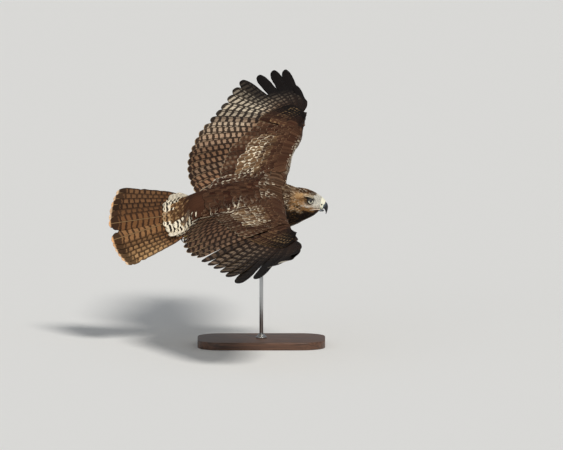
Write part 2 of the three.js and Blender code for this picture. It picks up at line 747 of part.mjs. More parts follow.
bird.add(named('torso', geometryOf(torso()), 'feather'));
bird.add(named('neck', geometryOf(neck()), 'feather'));
skull.add(named('head', geometryOf(head()), 'buff'));
skull.add(named('cere', geometryOf(cere()), 'cere'));
skull.add(named('bill_upper', billUpper(), 'horn'));
skull.add(named('bill_lower', billLower(), 'horn'));
bird.add(named('tail', geometryOf(tail()), 'tail'));
for (const [sideName, pose] of Object.entries(WINGS)) {
  const { side } = pose;
  skull.add(named(`eye_${sideName}`, eye(side), 'eye'));
  bird.add(named(`wing_${sideName}`, geometryOf(wing(pose, [torsoClear, neckClear])), 'flight'));
  const legClear = [torsoClear, solid(shank(side, GAP))];
  bird.add(named(`thigh_${sideName}`, geometryOf(thigh(side, legClear)), 'buff'));
  bird.add(named(`shank_${sideName}`, shank(side), 'scale'));
  bird.add(named(`foot_${sideName}`, geometryOf(foot(side)), 'scale'));
  for (const [toeName, toe] of Object.entries(TOES)) {
    bird.add(named(`claw_${toeName}_${sideName}`, claw(toe, side), 'claw'));
  }
}
bird.add(skull);
model.add(bird);
model.add(named('stand_base', standBase(), 'walnut'));
model.add(named('stand_collar', standCollar(), 'steel'));
model.add(named('stand_rod', geometryOf(standRod(bird, torsoClear)), 'steel'));

export default model;
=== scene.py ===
import math

import bpy
import numpy as np
from mathutils import Matrix, Vector
from mathutils.kdtree import KDTree


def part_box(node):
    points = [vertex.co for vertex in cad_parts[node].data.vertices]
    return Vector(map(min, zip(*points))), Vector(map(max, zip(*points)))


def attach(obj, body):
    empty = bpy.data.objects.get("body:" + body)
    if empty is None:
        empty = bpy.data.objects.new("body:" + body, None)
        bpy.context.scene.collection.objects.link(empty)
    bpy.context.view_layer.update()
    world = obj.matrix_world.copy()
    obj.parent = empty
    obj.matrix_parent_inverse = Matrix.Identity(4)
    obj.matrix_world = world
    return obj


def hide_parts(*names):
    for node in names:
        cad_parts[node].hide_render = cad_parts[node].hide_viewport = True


bl_info = {
    "name": "Red-tailed Hawk Display Model",
    "version": (1, 0, 0),
    "blender": (4, 5, 0),
    "location": "View3D > Sidebar > Hawk",
    "description": "A young red-tailed hawk in a banked glide, life size, on a plain stand",
    "category": "Object",
}

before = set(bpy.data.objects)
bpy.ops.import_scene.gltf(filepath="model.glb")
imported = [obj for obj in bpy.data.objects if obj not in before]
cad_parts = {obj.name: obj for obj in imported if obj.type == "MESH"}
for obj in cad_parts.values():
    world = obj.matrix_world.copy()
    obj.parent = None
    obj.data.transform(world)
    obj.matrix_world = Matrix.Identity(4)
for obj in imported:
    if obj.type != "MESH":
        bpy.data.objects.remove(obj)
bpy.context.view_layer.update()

# The bird is laid out in millimetres in its own frame: x forward, y to its left, z up
MM = 0.001
BODY = "root"

# Place of the mid-torso, and how the bird flies: degrees of bank, climb and heading
BIRD = {"place": (-40, 0, 330), "bank": 23.9, "climb": 4.5, "heading": -4.9}

# Torso stations: x, half width, height above and depth below the midline
TORSO_X = [-112, -92, -60, -20, 22, 60, 86]
TORSO_HALF = [41, 47, 54, 62, 65, 60, 52]
TORSO_TOP = [33, 39, 48, 54, 57, 55, 50]
TORSO_BOTTOM = [34, 41, 51, 61, 66, 67, 63]

# Head: its centre on the bird, its turn against the bird, and its stations along the skull. An eye looks out,
# a little ahead and a little up.
HEAD = {"centre": (143.5, 0, -3.5), "heading": -5.7, "climb": -19.9, "bank": -21.5}
HEAD_X = [-22, -8, 8, 19, 27.5, 33.5]
HEAD_HALF = [32.5, 33, 31, 26.5, 19.5, 14]
HEAD_TOP = [33.5, 35, 34.5, 32, 28.3, 26]
HEAD_BOTTOM = [68, 57, 42, 32, 22.5, 13.5]
EYE = {"x": 9.5, "y": 22.1, "z": 12.3, "radius": 8.6, "ahead": 0.3, "raised": 0.03}
BROW = ([(-8, 26.5, 21), (3.5, 28.3, 21.8), (13.5, 26.6, 20.3), (23, 19, 16)], [1.6, 3.2, 2.9, 1.2])
MOUTH = [(14, 26.5, -9), (22, 23, -6.5), (29.5, 17, -4), (37.5, 11.5, -3)]
CERE = {"length": 9, "half": (11.5, 8), "top": (19, 14.5), "middle": (6.5, 6), "inset": 0.35,
        "nostril": (4.5, 9.6, 8.5), "nostril_size": (2.7, 9, 2.0), "nostril_depth": 2.0}
BILL = {"tip": (54.25, -12), "half": 8, "top": 12, "gape": -3.2, "lower_depth": 5}

# Wings: planform measured outward from the shoulder and forward from the wrist's leading edge
SHOULDER = (129, 40, 21)
WRIST = 205
LEADING_AT = [-40, 0, 55, 121, 170, 205, 270, 334, 400, 488]
LEADING = [-34, -27, -20, -14.5, -4, 1, 13.5, 15, 8, -15]
FLESH_AT = [-40, 0, 90, 150, 205, 280, 340]
FLESH_BACK = [-128, -126, -114, -88, -58, -38, -16]
FLESH_TOP = [24, 22, 16, 12, 9.5, 6, 1.5]
FLESH_BOTTOM = [12, 10, 8, 7, 6, 4, 1]
WINGS = {
    "left": {
        "side": 1, "arm": (11, 0.2), "hand": (-9, -3.8), "sweep": -3.4, "stretch": 1,
        "bulge": [0, 1, 8.5, 5.4, 0, 0], "width": 48,
        "finger": [1, 1, 1, 0.95, 0.85, 0.7, 0.6, 0.56, 0.52, 0.6],
        "lift": [0, 0, 1, 3, 7, 8, 9, 15, 16, 8],
    },
    "right": {
        "side": -1, "arm": (12.1, 6.9), "hand": (14.1, 8.4), "sweep": 7.5, "stretch": 1.025,
        "bulge": [0, 0, 1, 1, -5, -2], "width": 58,
        "finger": [1, 1, 1, 1, 0.95, 0.8, 0.6, 0.5, 0.48, 0.6],
        "lift": [0, 0, 0, 0, -3, -10, -2, 22, 28, 14],
    },
}
# Distances out along the wing at which each fold's bulge is given
FOLD_AT = [0, 100, 165, 210, 260, 320]
# Distance of each primary's tip from the wrist, and its angle back from the spar
REACH = [232, 242, 260, 289, 316, 353, 367, 372, 368, 279]
FAN = [65.5, 53.6, 43.8, 34.6, 29, 23.1, 15.5, 9.9, 5.7, 2.7]
LOUVRE = 0.085

# Tail: its place and turn on the bird, then its fan of paired feathers
TAIL = {
    "base": (-112, 0, -9), "heading": 2, "climb": 4.8, "bank": 31, "pairs": 6, "length": 206,
    "shorter": 17, "width": 43, "step": 1.2, "root": 62, "root_half": 36,
    "root_step": {"left": 7.4, "right": 5.6}, "spread": {"left": 16, "right": 13.4},
    "parting": {"left": 0, "right": 8.4},
}

# Legs, folded back under the vent: where the knee, heel and ankle of the left one are
KNEE, HEEL, ANKLE = (16, 32, -36), (-58, 25, -57), (-116, 19, -46)
THIGH_MIDDLE = -46
THIGH_RADII = (10, 20, 8.5)
TOES = {
    "inner": ([(-5, -3, -1), (-16, -8, -5), (-25, -10, -9), (-27, -11, -16)], 4.0),
    "middle": ([(-6, 0, -1), (-22, -1, -4), (-34, -1, -8), (-37, -1, -16)], 3.9),
    "outer": ([(-5, 3, -1), (-17, 8, -4), (-27, 10, -8), (-30, 10, -15)], 3.5),
    "hind": ([(-1, -1, -5), (-5, -4, -12), (-12, -5, -17), (-18, -5, -19)], 4.0),
}

# Stand
BASE = {"length": 300, "width": 210, "thickness": 18, "corner": 60, "bevel": 2}
ROD = {"radius": 4.5, "collar_radius": 13, "collar_height": 9}
GAP = 0.3

# Rounding of a turned or planed edge
EASED = 0.3
# Claws: lengths ahead, and radii from root to point
CLAW = {"middle": 7, "length": 14, "curl": 7, "radii": [2.2, 1.65, 0.3]}

# The skin lies this far inside the outline, to leave room for the coat
COAT_DEPTH = {"torso": 5.0, "head": 2.4, "bill": 0.4, "wing": 2.2, "thigh": 3.5}
VOXEL = 1.9
# Size on the bake map of one small feather's patch, and more small feathers to a square metre than find room
PATCH = 0.003
CROWD = 4.0e6

# Markings that a feather carries, three to a vector
CARRIED = {"plan": ("bars", "fringe", "spots"), "extra": ("panel", "dusk", "streak")}


def linear(code):
    """The linear RGBA of an sRGB hex colour."""
    parts = [int(code[i:i + 2], 16) / 255 for i in (1, 3, 5)]
    return [c / 12.92 if c <= 0.04045 else ((c + 0.055) / 1.055) ** 2.4 for c in parts] + [1.0]


def smooth(t):
    t = np.clip(t, 0, 1)
    return t * t * (3 - 2 * t)


def ramp(value, low, high):
    """0 at low and 1 at high, smooth between them."""
    return smooth((value - low) / (high - low))


def lerp(a, b, t):
    return a + (b - a) * t


def along(stations, values, x):
    """A smooth value through a few stations."""
    s, v = np.array(stations, float), np.array(values, float)
    x = np.clip(np.asarray(x, float), s[0], s[-1])
    slope = np.array([(v[min(k + 1, len(v) - 1)] - v[max(k - 1, 0)])
                      / (s[min(k + 1, len(v) - 1)] - s[max(k - 1, 0)]) for k in range(len(v))])
    i = np.clip(np.searchsorted(s, x, side="right") - 1, 0, len(s) - 2)
    span = s[i + 1] - s[i]
    t = (x - s[i]) / span
    t2, t3 = t * t, t * t * t
    return (v[i] * (2 * t3 - 3 * t2 + 1) + slope[i] * span * (t3 - 2 * t2 + t)
            + v[i + 1] * (3 * t2 - 2 * t3) + slope[i + 1] * span * (t3 - t2))


def turned(kind):
    """The turn that a heading, a climb and a bank make, as a 3 by 3 array."""
    bank, climb, heading = (math.radians(kind[k]) for k in ("bank", "climb", "heading"))
    turn = Matrix.Rotation(heading, 3, "Z") @ Matrix.Rotation(-climb, 3, "Y")
    return np.array(turn @ Matrix.Rotation(bank, 3, "X"))


def between(turn, share):
    """A share of the way from no turn to a turn."""
    part = Matrix(np.eye(3).tolist()).to_quaternion().slerp(Matrix(turn.tolist()).to_quaternion(), share)
    return np.array(part.to_matrix())


BIRD_TURN, HEAD_TURN, TAIL_TURN = turned(BIRD), turned(HEAD), turned(TAIL)


def to_world(points):
    """Points on the bird, in millimetres, as points of the frame, in metres."""
    return (np.asarray(points, float) @ BIRD_TURN.T + np.array(BIRD["place"])) * MM


def from_world(points):
    """Points of the frame, in metres, as points on the bird, in millimetres."""
    return (points / MM - np.array(BIRD["place"])) @ BIRD_TURN


def on_head(points):
    return np.asarray(points, float) @ HEAD_TURN.T + np.array(HEAD["centre"])


def from_head(points):
    return (np.asarray(points, float) - np.array(HEAD["centre"])) @ HEAD_TURN


def on_tail(points):
    return np.asarray(points, float) @ TAIL_TURN.T + np.array(TAIL["base"])


def unit(vectors):
    return vectors / np.maximum(np.linalg.norm(vectors, axis=-1, keepdims=True), 1e-9)


# Settings


def colour(name, code, description):
    return bpy.props.FloatVectorProperty(
        name=name, description=description, subtype="COLOR", size=4, min=0, max=1, default=linear(code))


def length(name, millimetres, description):
    return bpy.props.FloatProperty(
        name=name, description=description, default=millimetres * MM, min=0.0, unit="LENGTH", precision=4)


class HawkColours(bpy.types.PropertyGroup):
    mantle: colour("Mantle", "#452b1d", "Back, scapulars and wing coverts")
    edging: colour("Edging", "#8b6d55", "Worn edges of the back's feathers")
    cream: colour("Cream", "#efe3ca", "Spots and loops on scapulars and coverts")
    buff: colour("Buff", "#cfa878", "Warm edges and tips")
    bar: colour("Bar", "#20130c", "Dark bars of the flight feathers")
    vane: colour("Vane", "#86644a", "Ground of the flight feathers")
    panel: colour("Panel", "#efdfc4", "Pale inner webs of the primaries")
    finger: colour("Finger", "#0f0907", "Outer primaries and the leading hand")
    tail: colour("Tail", "#6d482a", "Ground of the tail feathers")
    rufous: colour("Rufous", "#d69c66", "Tips of the tail feathers")
    belly: colour("Belly", "#ece1cc", "Breast, belly and underwing")
    crown: colour("Crown", "#452e1e", "Crown and nape")
    cheek: colour("Cheek", "#a67c4e", "Cheek and ear coverts")
    # The darkest brown, made darker than the plumage as painted shade for the underside of head and neck
    throat: colour("Throat", "#140d09", "Moustache and sides of the throat")
    lores: colour("Lores", "#efebdf", "Fine feathers before the eye")


class HawkSizes(bpy.types.PropertyGroup):
    hand_bars: length("Hand bars", 19.5, "Distance between the bars of a primary")
    wing_bars: length("Wing bars", 14.2, "Distance between the bars of a secondary")
    tail_bars: length("Tail bars", 13.4, "Distance between the bars of a tail feather")
    covert_bars: length("Covert bars", 9.5, "Distance between the bars of a covert")
    barbs: length("Barbs", 2.4, "Distance between the ridges of the barbs")


class HawkStage(bpy.types.PropertyGroup):
    distance: length("Distance", 45000, "Distance of the camera")
    elevation: bpy.props.FloatProperty(
        name="Elevation", description="Camera above the horizon", default=math.radians(6), subtype="ANGLE")
    view_width: length("View width", 1323, "Width of the view at the bird")
    target: bpy.props.FloatVectorProperty(
        name="Target", description="Middle of the view", subtype="TRANSLATION", size=3,
        default=(0.0474, -0.0047, 0.2856))
    floor: colour("Floor", "#ebecec", "Pale floor")
    sky: colour("Surround", "#eceff2", "Pale surround")


# Nodes and materials


def add(tree, kind, inputs=None, out=0, **settings):
    """Adds a node and returns one of its outputs. An input that is a socket is linked, others are set."""
    node = tree.nodes.new(kind)
    for name, value in settings.items():
        setattr(node, name, value)
    for key, value in (inputs or {}).items():
        if isinstance(value, bpy.types.NodeSocket):
            tree.links.new(value, node.inputs[key])
        else:
            node.inputs[key].default_value = value
    return node.outputs[out] if node.outputs else node


# Work that a step of a node list does: its node, the inputs that it fills, the output that it gives and its
# settings. An input with a dot is a setting of the node. Any other work is that operation of a Math node.
WORK = {
    "vector": ("ShaderNodeAttribute", (".attribute_name",), "Vector", {}),
    "colour": ("ShaderNodeAttribute", (".attribute_name",), "Color", {}),
    "value": ("ShaderNodeAttribute", (".attribute_name",), "Fac", {}),
    "place": ("ShaderNodeTexCoord", (), "Object", {}),
    "stretch": ("ShaderNodeMapping", ("Vector", "Scale"), 0, {}),
    "noise": ("ShaderNodeTexNoise", ("Vector", "Scale", "Detail"), 0, {}),
    "cells": ("ShaderNodeTexVoronoi", ("Vector", "Scale"), 0, {"feature": "DISTANCE_TO_EDGE"}),
    "x": ("ShaderNodeSeparateXYZ", (0,), 0, {}),
    "y": ("ShaderNodeSeparateXYZ", (0,), 1, {}),
    "z": ("ShaderNodeSeparateXYZ", (0,), 2, {}),
    "xyz": ("ShaderNodeCombineXYZ", (0, 1, 2), 0, {}),
    "step": ("ShaderNodeMapRange", (0, 1, 2, 3, 4), 0, {"interpolation_type": "SMOOTHSTEP"}),
    "range": ("ShaderNodeMapRange", (0, 1, 2, 3, 4), 0, {}),
    "mix": ("ShaderNodeMix", (0, 6, 7), 2, {"data_type": "RGBA"}),
    "dim": ("ShaderNodeMix", (0, 6, 7), 2, {"data_type": "RGBA", "blend_type": "MULTIPLY"}),
    "bump": ("ShaderNodeBump", ("Height", "Strength", "Distance"), 0, {}),
}


def draw(tree, steps, made):
    """Adds the nodes of a list. A step has a name, its work and what it takes: earlier steps by name, hex
    colours or plain values. What it takes beyond its node's inputs goes on to one more node of its kind."""
    for name, work, *taken in steps:
        kind, sockets, out, settings = WORK.get(work, ("ShaderNodeMath", (0, 1), 0, {"operation": work}))
        taken = [made.get(v, v) if isinstance(v, str) else v for v in taken]
        taken = [linear(v) if isinstance(v, str) and v[0] == "#" else v for v in taken]
        while True:
            filled = dict(zip(sockets, taken))
            own = {key[1:]: filled.pop(key) for key in list(filled) if str(key)[0] == "."}
            result = add(tree, kind, filled, out, **settings, **own)
            taken = [result] + taken[len(sockets):]
            if len(taken) == 1:
                break
        made[name] = result
    return made


# A feather's markings. Lengths are in millimetres.
MARKING_STEPS = (
    ("web", "vector", "web"), ("across", "x", "web"), ("along", "y", "web"),
    ("span", "vector", "span"), ("off", "x", "span"), ("from_tip", "y", "span"), ("chance", "z", "span"),
    ("plan", "vector", "plan"), ("bars", "x", "plan"), ("fringe", "y", "plan"), ("spots", "z", "plan"),
    ("extra", "vector", "extra"), ("panel", "x", "extra"), ("dusk", "y", "extra"), ("streak", "z", "extra"),
    ("tone", "colour", "tone"), ("mark", "colour", "mark"), ("under", "value", "under"),
    # Waves of 7 mm in a marking's course, and grain of 1.5 mm in its colour
    ("place", "place"), ("waves", "noise", "place", 140.0, 2.0), ("wobble", "SUBTRACT", "waves", 0.5),
    ("specks", "noise", "place", 650.0, 2.0), ("grain", "SUBTRACT", "specks", 0.5),
    ("away", "ABSOLUTE", "off"), ("edge", "ABSOLUTE", "across"),
    # Bars, measured from the tip so that they run on from feather to feather
    ("lean", "MULTIPLY", "away", 0.2), ("waver", "MULTIPLY", "wobble", 7.0),
    ("slope", "MULTIPLY", "off", "Slant"), ("course", "ADD", "from_tip", "lean", "waver", "slope"),
    ("turns", "DIVIDE", "course", "Spacing"), ("turns", "MULTIPLY", "turns", 2 * math.pi),
    ("wave", "SINE", "turns"), ("wave", "ADD", "wave", "Share"), ("bar", "step", "wave", -0.25, 0.3),
    # The broad band before the tip, the dark keel along the shaft and the dark outer web; keel and outer web
    # are partly own colour and partly painted shadow between feathers
    ("band_in", "ADD", "Band", 2.5), ("band_out", "SUBTRACT", "Band", 2.5),
    ("band", "step", "course", "band_in", "band_out"), ("band", "MULTIPLY", "band", "Band strength"),
    ("barred", "MAXIMUM", "bar", "band"), ("barred", "MULTIPLY", "barred", "bars"),
    ("keel", "step", "away", 2.8, 0.7), ("keel", "MULTIPLY", "keel", 0.9),
    ("web_in", "ADD", "Outer web", 0.3),
    ("outer", "step", "across", "Outer web", "web_in"), ("outer", "MULTIPLY", "outer", 0.9),
    ("lines", "MAXIMUM", "keel", "outer"), ("strong", "step", "bars", 0.3, 0.6),
    ("lines", "MULTIPLY", "lines", "strong", "Lines"), ("barred", "MAXIMUM", "barred", "lines"),
    # The pale panel of an inner web, and the dusky end
    ("late", "step", "along", 0.3, 0.55), ("clear", "step", "wobble", -0.35, 0.0),
    ("pale", "MULTIPLY", "late", "panel", "clear"),
    ("end", "step", "along", 0.36, 0.66), ("darkened", "MULTIPLY", "end", "dusk"),
    # Rim: along the tip and up both sides, as wide as it is strong, only at the tip where Tip only is 1
    ("wide", "MAXIMUM", "edge", 0.02), ("half", "DIVIDE", "away", "wide"),
    ("side", "SUBTRACT", "half", "away"), ("low", "step", "along", 0.85, 0.35),
    ("low", "MULTIPLY", "low", 7.0), ("only", "MULTIPLY", "Tip only", 20.0),
    ("side", "ADD", "side", "low", "only", 0.5), ("gap", "MINIMUM", "from_tip", "side"),
    ("rough", "MULTIPLY", "grain", 1.6), ("gap", "ADD", "gap", "rough"),
    ("rim_out", "MULTIPLY", "fringe", 3.2), ("rim_out", "ADD", "rim_out", 0.9),
    ("rim_in", "MULTIPLY", "rim_out", 0.35), ("rim", "step", "gap", "rim_out", "rim_in"),
    ("rim_by", "MULTIPLY", "fringe", 1.5), ("rim_by", "MINIMUM", "rim_by", 1.0),
    ("rim", "MULTIPLY", "rim", "rim_by"),
    # Spots in pairs on both sides of the shaft, on some feathers
    ("stir", "MULTIPLY", "wobble", 6.0), ("ring", "ADD", "from_tip", "stir"),
    ("ring", "DIVIDE", "ring", 2.0), ("ring", "SINE", "ring"), ("pairs", "step", "ring", -0.15, 0.5),
    ("beside", "step", "edge", 0.24, 0.5), ("some", "step", "chance", 0.15, 0.4),
    ("spotted", "MULTIPLY", "beside", "pairs", "late", "spots", "some"),
    ("middle", "step", "edge", 0.62, 0.2), ("streaked", "MULTIPLY", "middle", "streak"),
    ("shaft", "step", "away", 1.0, 0.5), ("shaft", "MULTIPLY", "shaft", "Shaft"),
    ("under", "MULTIPLY", "under", 0.62),
    # The colours one over the other, then lighter or darker by feather and by grain
    ("ink", "mix", "pale", "tone", "Pale"), ("ink", "mix", "barred", "ink", "Dark"),
    ("ink", "mix", "darkened", "ink", "Dusk"), ("ink", "mix", "streaked", "ink", "Dark"),
    ("ink", "mix", "spotted", "ink", "mark"), ("ink", "mix", "rim", "ink", "mark"),
    ("ink", "mix", "shaft", "ink", "Quill"), ("ink", "mix", "under", "ink", "Reverse"),
    ("by_feather", "MULTIPLY", "chance", 0.5), ("by_grain", "MULTIPLY", "grain", 0.9),
    ("shade", "ADD", "by_feather", "by_grain", 0.75), ("ink", "dim", 1.0, "ink", "shade"),
    # The barbs leave the shaft at a slant and run towards the tip
    ("slant", "MULTIPLY", "away", 1.3), ("slant", "SUBTRACT", "from_tip", "slant"),
    ("slant", "DIVIDE", "slant", "Barbs"), ("slant", "MULTIPLY", "slant", 2 * math.pi),
    ("ridges", "SINE", "slant"), ("ridges", "MULTIPLY", "ridges", 0.5),
    ("height", "ADD", "ridges", "grain"),
)
MARKING_INPUTS = {
    "Float": ("Spacing", "Share", "Band", "Band strength", "Shaft", "Barbs", "Tip only", "Lines", "Outer web",
              "Slant"),
    "Color": ("Dark", "Pale", "Dusk", "Quill", "Reverse"),
}


def markings():
    """Node group that draws one feather: bars, pale panel, dusky end, rim, spots, streak and shaft.

    It reads what each feather's mesh carries: web is across and along it, span is millimetres from
    the shaft and from the tip and a number by chance, plan and extra say how strong each marking is."""
    tree = bpy.data.node_groups.new("Feather markings", "ShaderNodeTree")
    for kind, names in MARKING_INPUTS.items():
        for name in names:
            tree.interface.new_socket(name, in_out="INPUT", socket_type="NodeSocket" + kind)
    tree.interface.new_socket("Color", in_out="OUTPUT", socket_type="NodeSocketColor")
    tree.interface.new_socket("Height", in_out="OUTPUT", socket_type="NodeSocketFloat")
    given = add(tree, "NodeGroupInput").node.outputs
    made = draw(tree, MARKING_STEPS, {socket.name: socket for socket in given})
    add(tree, "NodeGroupOutput", {0: made["ink"], 1: made["height"]})
    return tree


def surface_of(name, steps, **values):
    """A material from a list of steps. A step named like an input of the shader drives that input, and
    values are the shader's own settings, with _ for a space."""
    material = bpy.data.materials.new(name)
    material.use_nodes = True
    tree = material.node_tree
    shader = tree.nodes["Principled BSDF"]
    for step, socket in draw(tree, steps, {}).items():
        if step in shader.inputs:
            tree.links.new(socket, shader.inputs[step])
    for key, value in values.items():
        shader.inputs[key.replace("_", " ")].default_value = value
    return material


def feather_material(name, settings, roughness):
    """Keratin vanes: matt, with ridges of barbs that a low light catches, and a smoother shaft."""
    material = surface_of(name, (), Roughness=roughness, Specular_IOR_Level=0.12)
    tree = material.node_tree
    drawn = tree.nodes.new("ShaderNodeGroup")
    drawn.node_tree = bpy.data.node_groups.get("Feather markings") or markings()
    for key, value in settings.items():
        drawn.inputs[key].default_value = value
    bump = add(tree, "ShaderNodeBump", {
        "Height": drawn.outputs["Height"], "Strength": 0.4, "Distance": 0.0006})
    shader = tree.nodes["Principled BSDF"]
    tree.links.new(drawn.outputs["Color"], shader.inputs["Base Color"])
    tree.links.new(bump, shader.inputs["Normal"])
    return material


# Meshes


def linked(name, mesh):
    made = bpy.data.objects.new(name, mesh)
    bpy.context.scene.collection.objects.link(made)
    return made


def mesh_of(name, points, faces):
    """A smooth mesh from points in metres and its faces."""
    mesh = bpy.data.meshes.new(name)
    mesh.from_pydata(np.asarray(points).tolist(), [], faces if isinstance(faces, list) else faces.tolist())
    mesh.polygons.foreach_set("use_smooth", [True] * len(mesh.polygons))
    mesh.update()
    return mesh


def read(items, name, width=1, kind=float):
    """One value of every point, edge, face or corner of a mesh."""
    values = np.empty(len(items) * width, kind)
    items.foreach_get(name, values)
    return values.reshape(-1, width) if width > 1 else values


def store(mesh, name, kind, domain, values):
    """Keeps one value for each point, corner or face under a name."""
    made = mesh.attributes.get(name) or mesh.attributes.new(name, kind, domain)
    field = {"FLOAT": "value", "FLOAT_VECTOR": "vector", "FLOAT2": "vector", "FLOAT_COLOR": "color"}[kind]
    made.data.foreach_set(field, np.asarray(values, np.float32).ravel())


def settle(piece, material, slot, *replaced):
    """Gives a finished piece its material and its body, and hides the solids that it stands for. Its slot is
    not used.
    """
    if material is not None:
        piece.data.materials.clear()
        piece.data.materials.append(material)
    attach(piece, BODY)
    if replaced:
        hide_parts(*replaced)
    return piece


def loft(rings, round_trip=False):
    """Points and faces of a skin over rings of equal count. Its ends are closed, or meet in a round trip."""
    count, rows = len(rings[0]), len(rings)
    points = [p for ring in rings for p in ring]
    faces = []
    for k in range(rows if round_trip else rows - 1):
        here, ahead = k * count, (k + 1) % rows * count
        for j in range(count):
            n = (j + 1) % count
            faces.append([here + j, here + n, ahead + n, ahead + j])
    for end in () if round_trip else (0, rows - 1):
        middle = len(points)
        points.append(np.mean(rings[end], axis=0))
        for j in range(count):
            a, b = end * count + j, end * count + (j + 1) % count
            faces.append([b, a, middle] if end == 0 else [a, b, middle])
    return np.array(points), faces


def outward(points, faces):
    """The same faces, turned so that they point out."""
    volume = 0.0
    for face in faces:
        a = points[face[0]]
        for j in range(1, len(face) - 1):
            volume += float(np.dot(a, np.cross(points[face[j]], points[face[j + 1]])))
    return faces if volume > 0 else [face[::-1] for face in faces]


def egg(centre, across, up, half, top, bottom, count):
    """An egg-shaped ring: half width, height above and depth below its centre."""
    angle = 2 * np.pi * np.arange(count) / count
    rise = np.sin(angle)
    height = np.where(rise > 0, top, bottom) * rise
    return np.asarray(centre, float) + np.outer(np.cos(angle) * half, across) + np.outer(height, up)


def curve_through(points, steps):
    """Points and directions along a smooth curve through a few points."""
    p = np.array(points, float)
    t = np.linspace(0, len(p) - 1, steps + 1)
    at = np.arange(len(p))
    line = np.stack([along(at, p[:, k], t) for k in range(3)], axis=1)
    return line, unit(np.gradient(line, axis=0))


def tube_rings(points, radii, sides, steps):
    """Rings of a tapering tube along a curve."""
    line, direction = curve_through(points, steps)
    radius = along(np.linspace(0, 1, len(radii)), radii, np.linspace(0, 1, steps + 1))
    rings = []
    for centre, forward, r in zip(line, direction, radius):
        across = unit(np.cross(np.cross(forward, (0, 1, 0)), forward))
        up = np.cross(forward, across)
        rings.append(egg(centre, across, up, r, r, r, sides))
    return rings


# Surfaces of the bird


def egg_sizes(x, inset):
    """Half width, height and depth of the torso at x."""
    return [along(TORSO_X, sizes, x) - inset for sizes in (TORSO_HALF, TORSO_TOP, TORSO_BOTTOM)]


def trunk_rings(count):
    """Rings of the body from the root of the tail to the root of the bill, with each one's axis."""
    rings, centres, ups = [], [], []

    def ring(centre, turn, sizes):
        centres.append(np.asarray(centre, float))
        ups.append(turn @ np.array([0, 0, 1.0]))
        rings.append(egg(centre, turn @ np.array([0, 1.0, 0]), ups[-1], *sizes, count))

    deep = COAT_DEPTH["torso"]
    tail_end, tail_start = on_tail([-TAIL["root"], 0, 0]), np.array([TORSO_X[0], 0, 0])
    for t in np.linspace(1, 0.12, 7):
        turn = between(TAIL_TURN, float(smooth(min(1, t * 1.6))))
        share = smooth(t)
        inset = lerp(deep - 1, 1.2, share)
        ring(lerp(tail_start, tail_end, t), turn, (
            lerp(TORSO_HALF[0], TAIL["root_half"], share) - inset, lerp(TORSO_TOP[0], 3.6, share) - inset,
            lerp(TORSO_BOTTOM[0], 5.4, share) - inset))
    for x in np.linspace(TORSO_X[0], TORSO_X[-1], 24):
        ring((x, 0, 0), np.eye(3), egg_sizes(x, deep))
    start, finish = np.array([TORSO_X[-1], 0, 0]), on_head([HEAD_X[0], 0, 0])
    for t in np.linspace(0.12, 0.9, 7):
        inset = lerp(deep, COAT_DEPTH["head"], t)
        share = smooth(t)
        ring(lerp(start, finish, t), between(HEAD_TURN, float(t)), [
            lerp(torso[-1], head[0], share) - inset for torso, head in (
                (TORSO_HALF, HEAD_HALF), (TORSO_TOP, HEAD_TOP), (TORSO_BOTTOM, HEAD_BOTTOM))])
    for x in np.linspace(HEAD_X[0], HEAD_X[-1], 22):
        inset = lerp(COAT_DEPTH["head"], COAT_DEPTH["bill"], smooth((x - 12) / 25))
        ring(on_head([x, 0, 0]), HEAD_TURN, [
            along(HEAD_X, sizes, x) - inset for sizes in (HEAD_HALF, HEAD_TOP, HEAD_BOTTOM)])
    for ahead, part in ((0.9, 0.92), (1.6, 0.8)):
        ring(on_head([HEAD_X[-1] + ahead, 0, 0.8]), HEAD_TURN, (
            HEAD_HALF[-1] * part, HEAD_TOP[-1] * part, HEAD_BOTTOM[-1] * part))
    return rings, np.array(centres), np.array(ups)


def thickness(part):
    """Share of the flesh's full thickness at a share of the way from its front edge to its back edge."""
    front = np.sqrt(np.clip(1 - (1 - part / 0.3) ** 2, 0, 1))
    return np.where(part < 0.3, front, 1 - (np.maximum(part - 0.3, 0) / 0.7) ** 1.6)


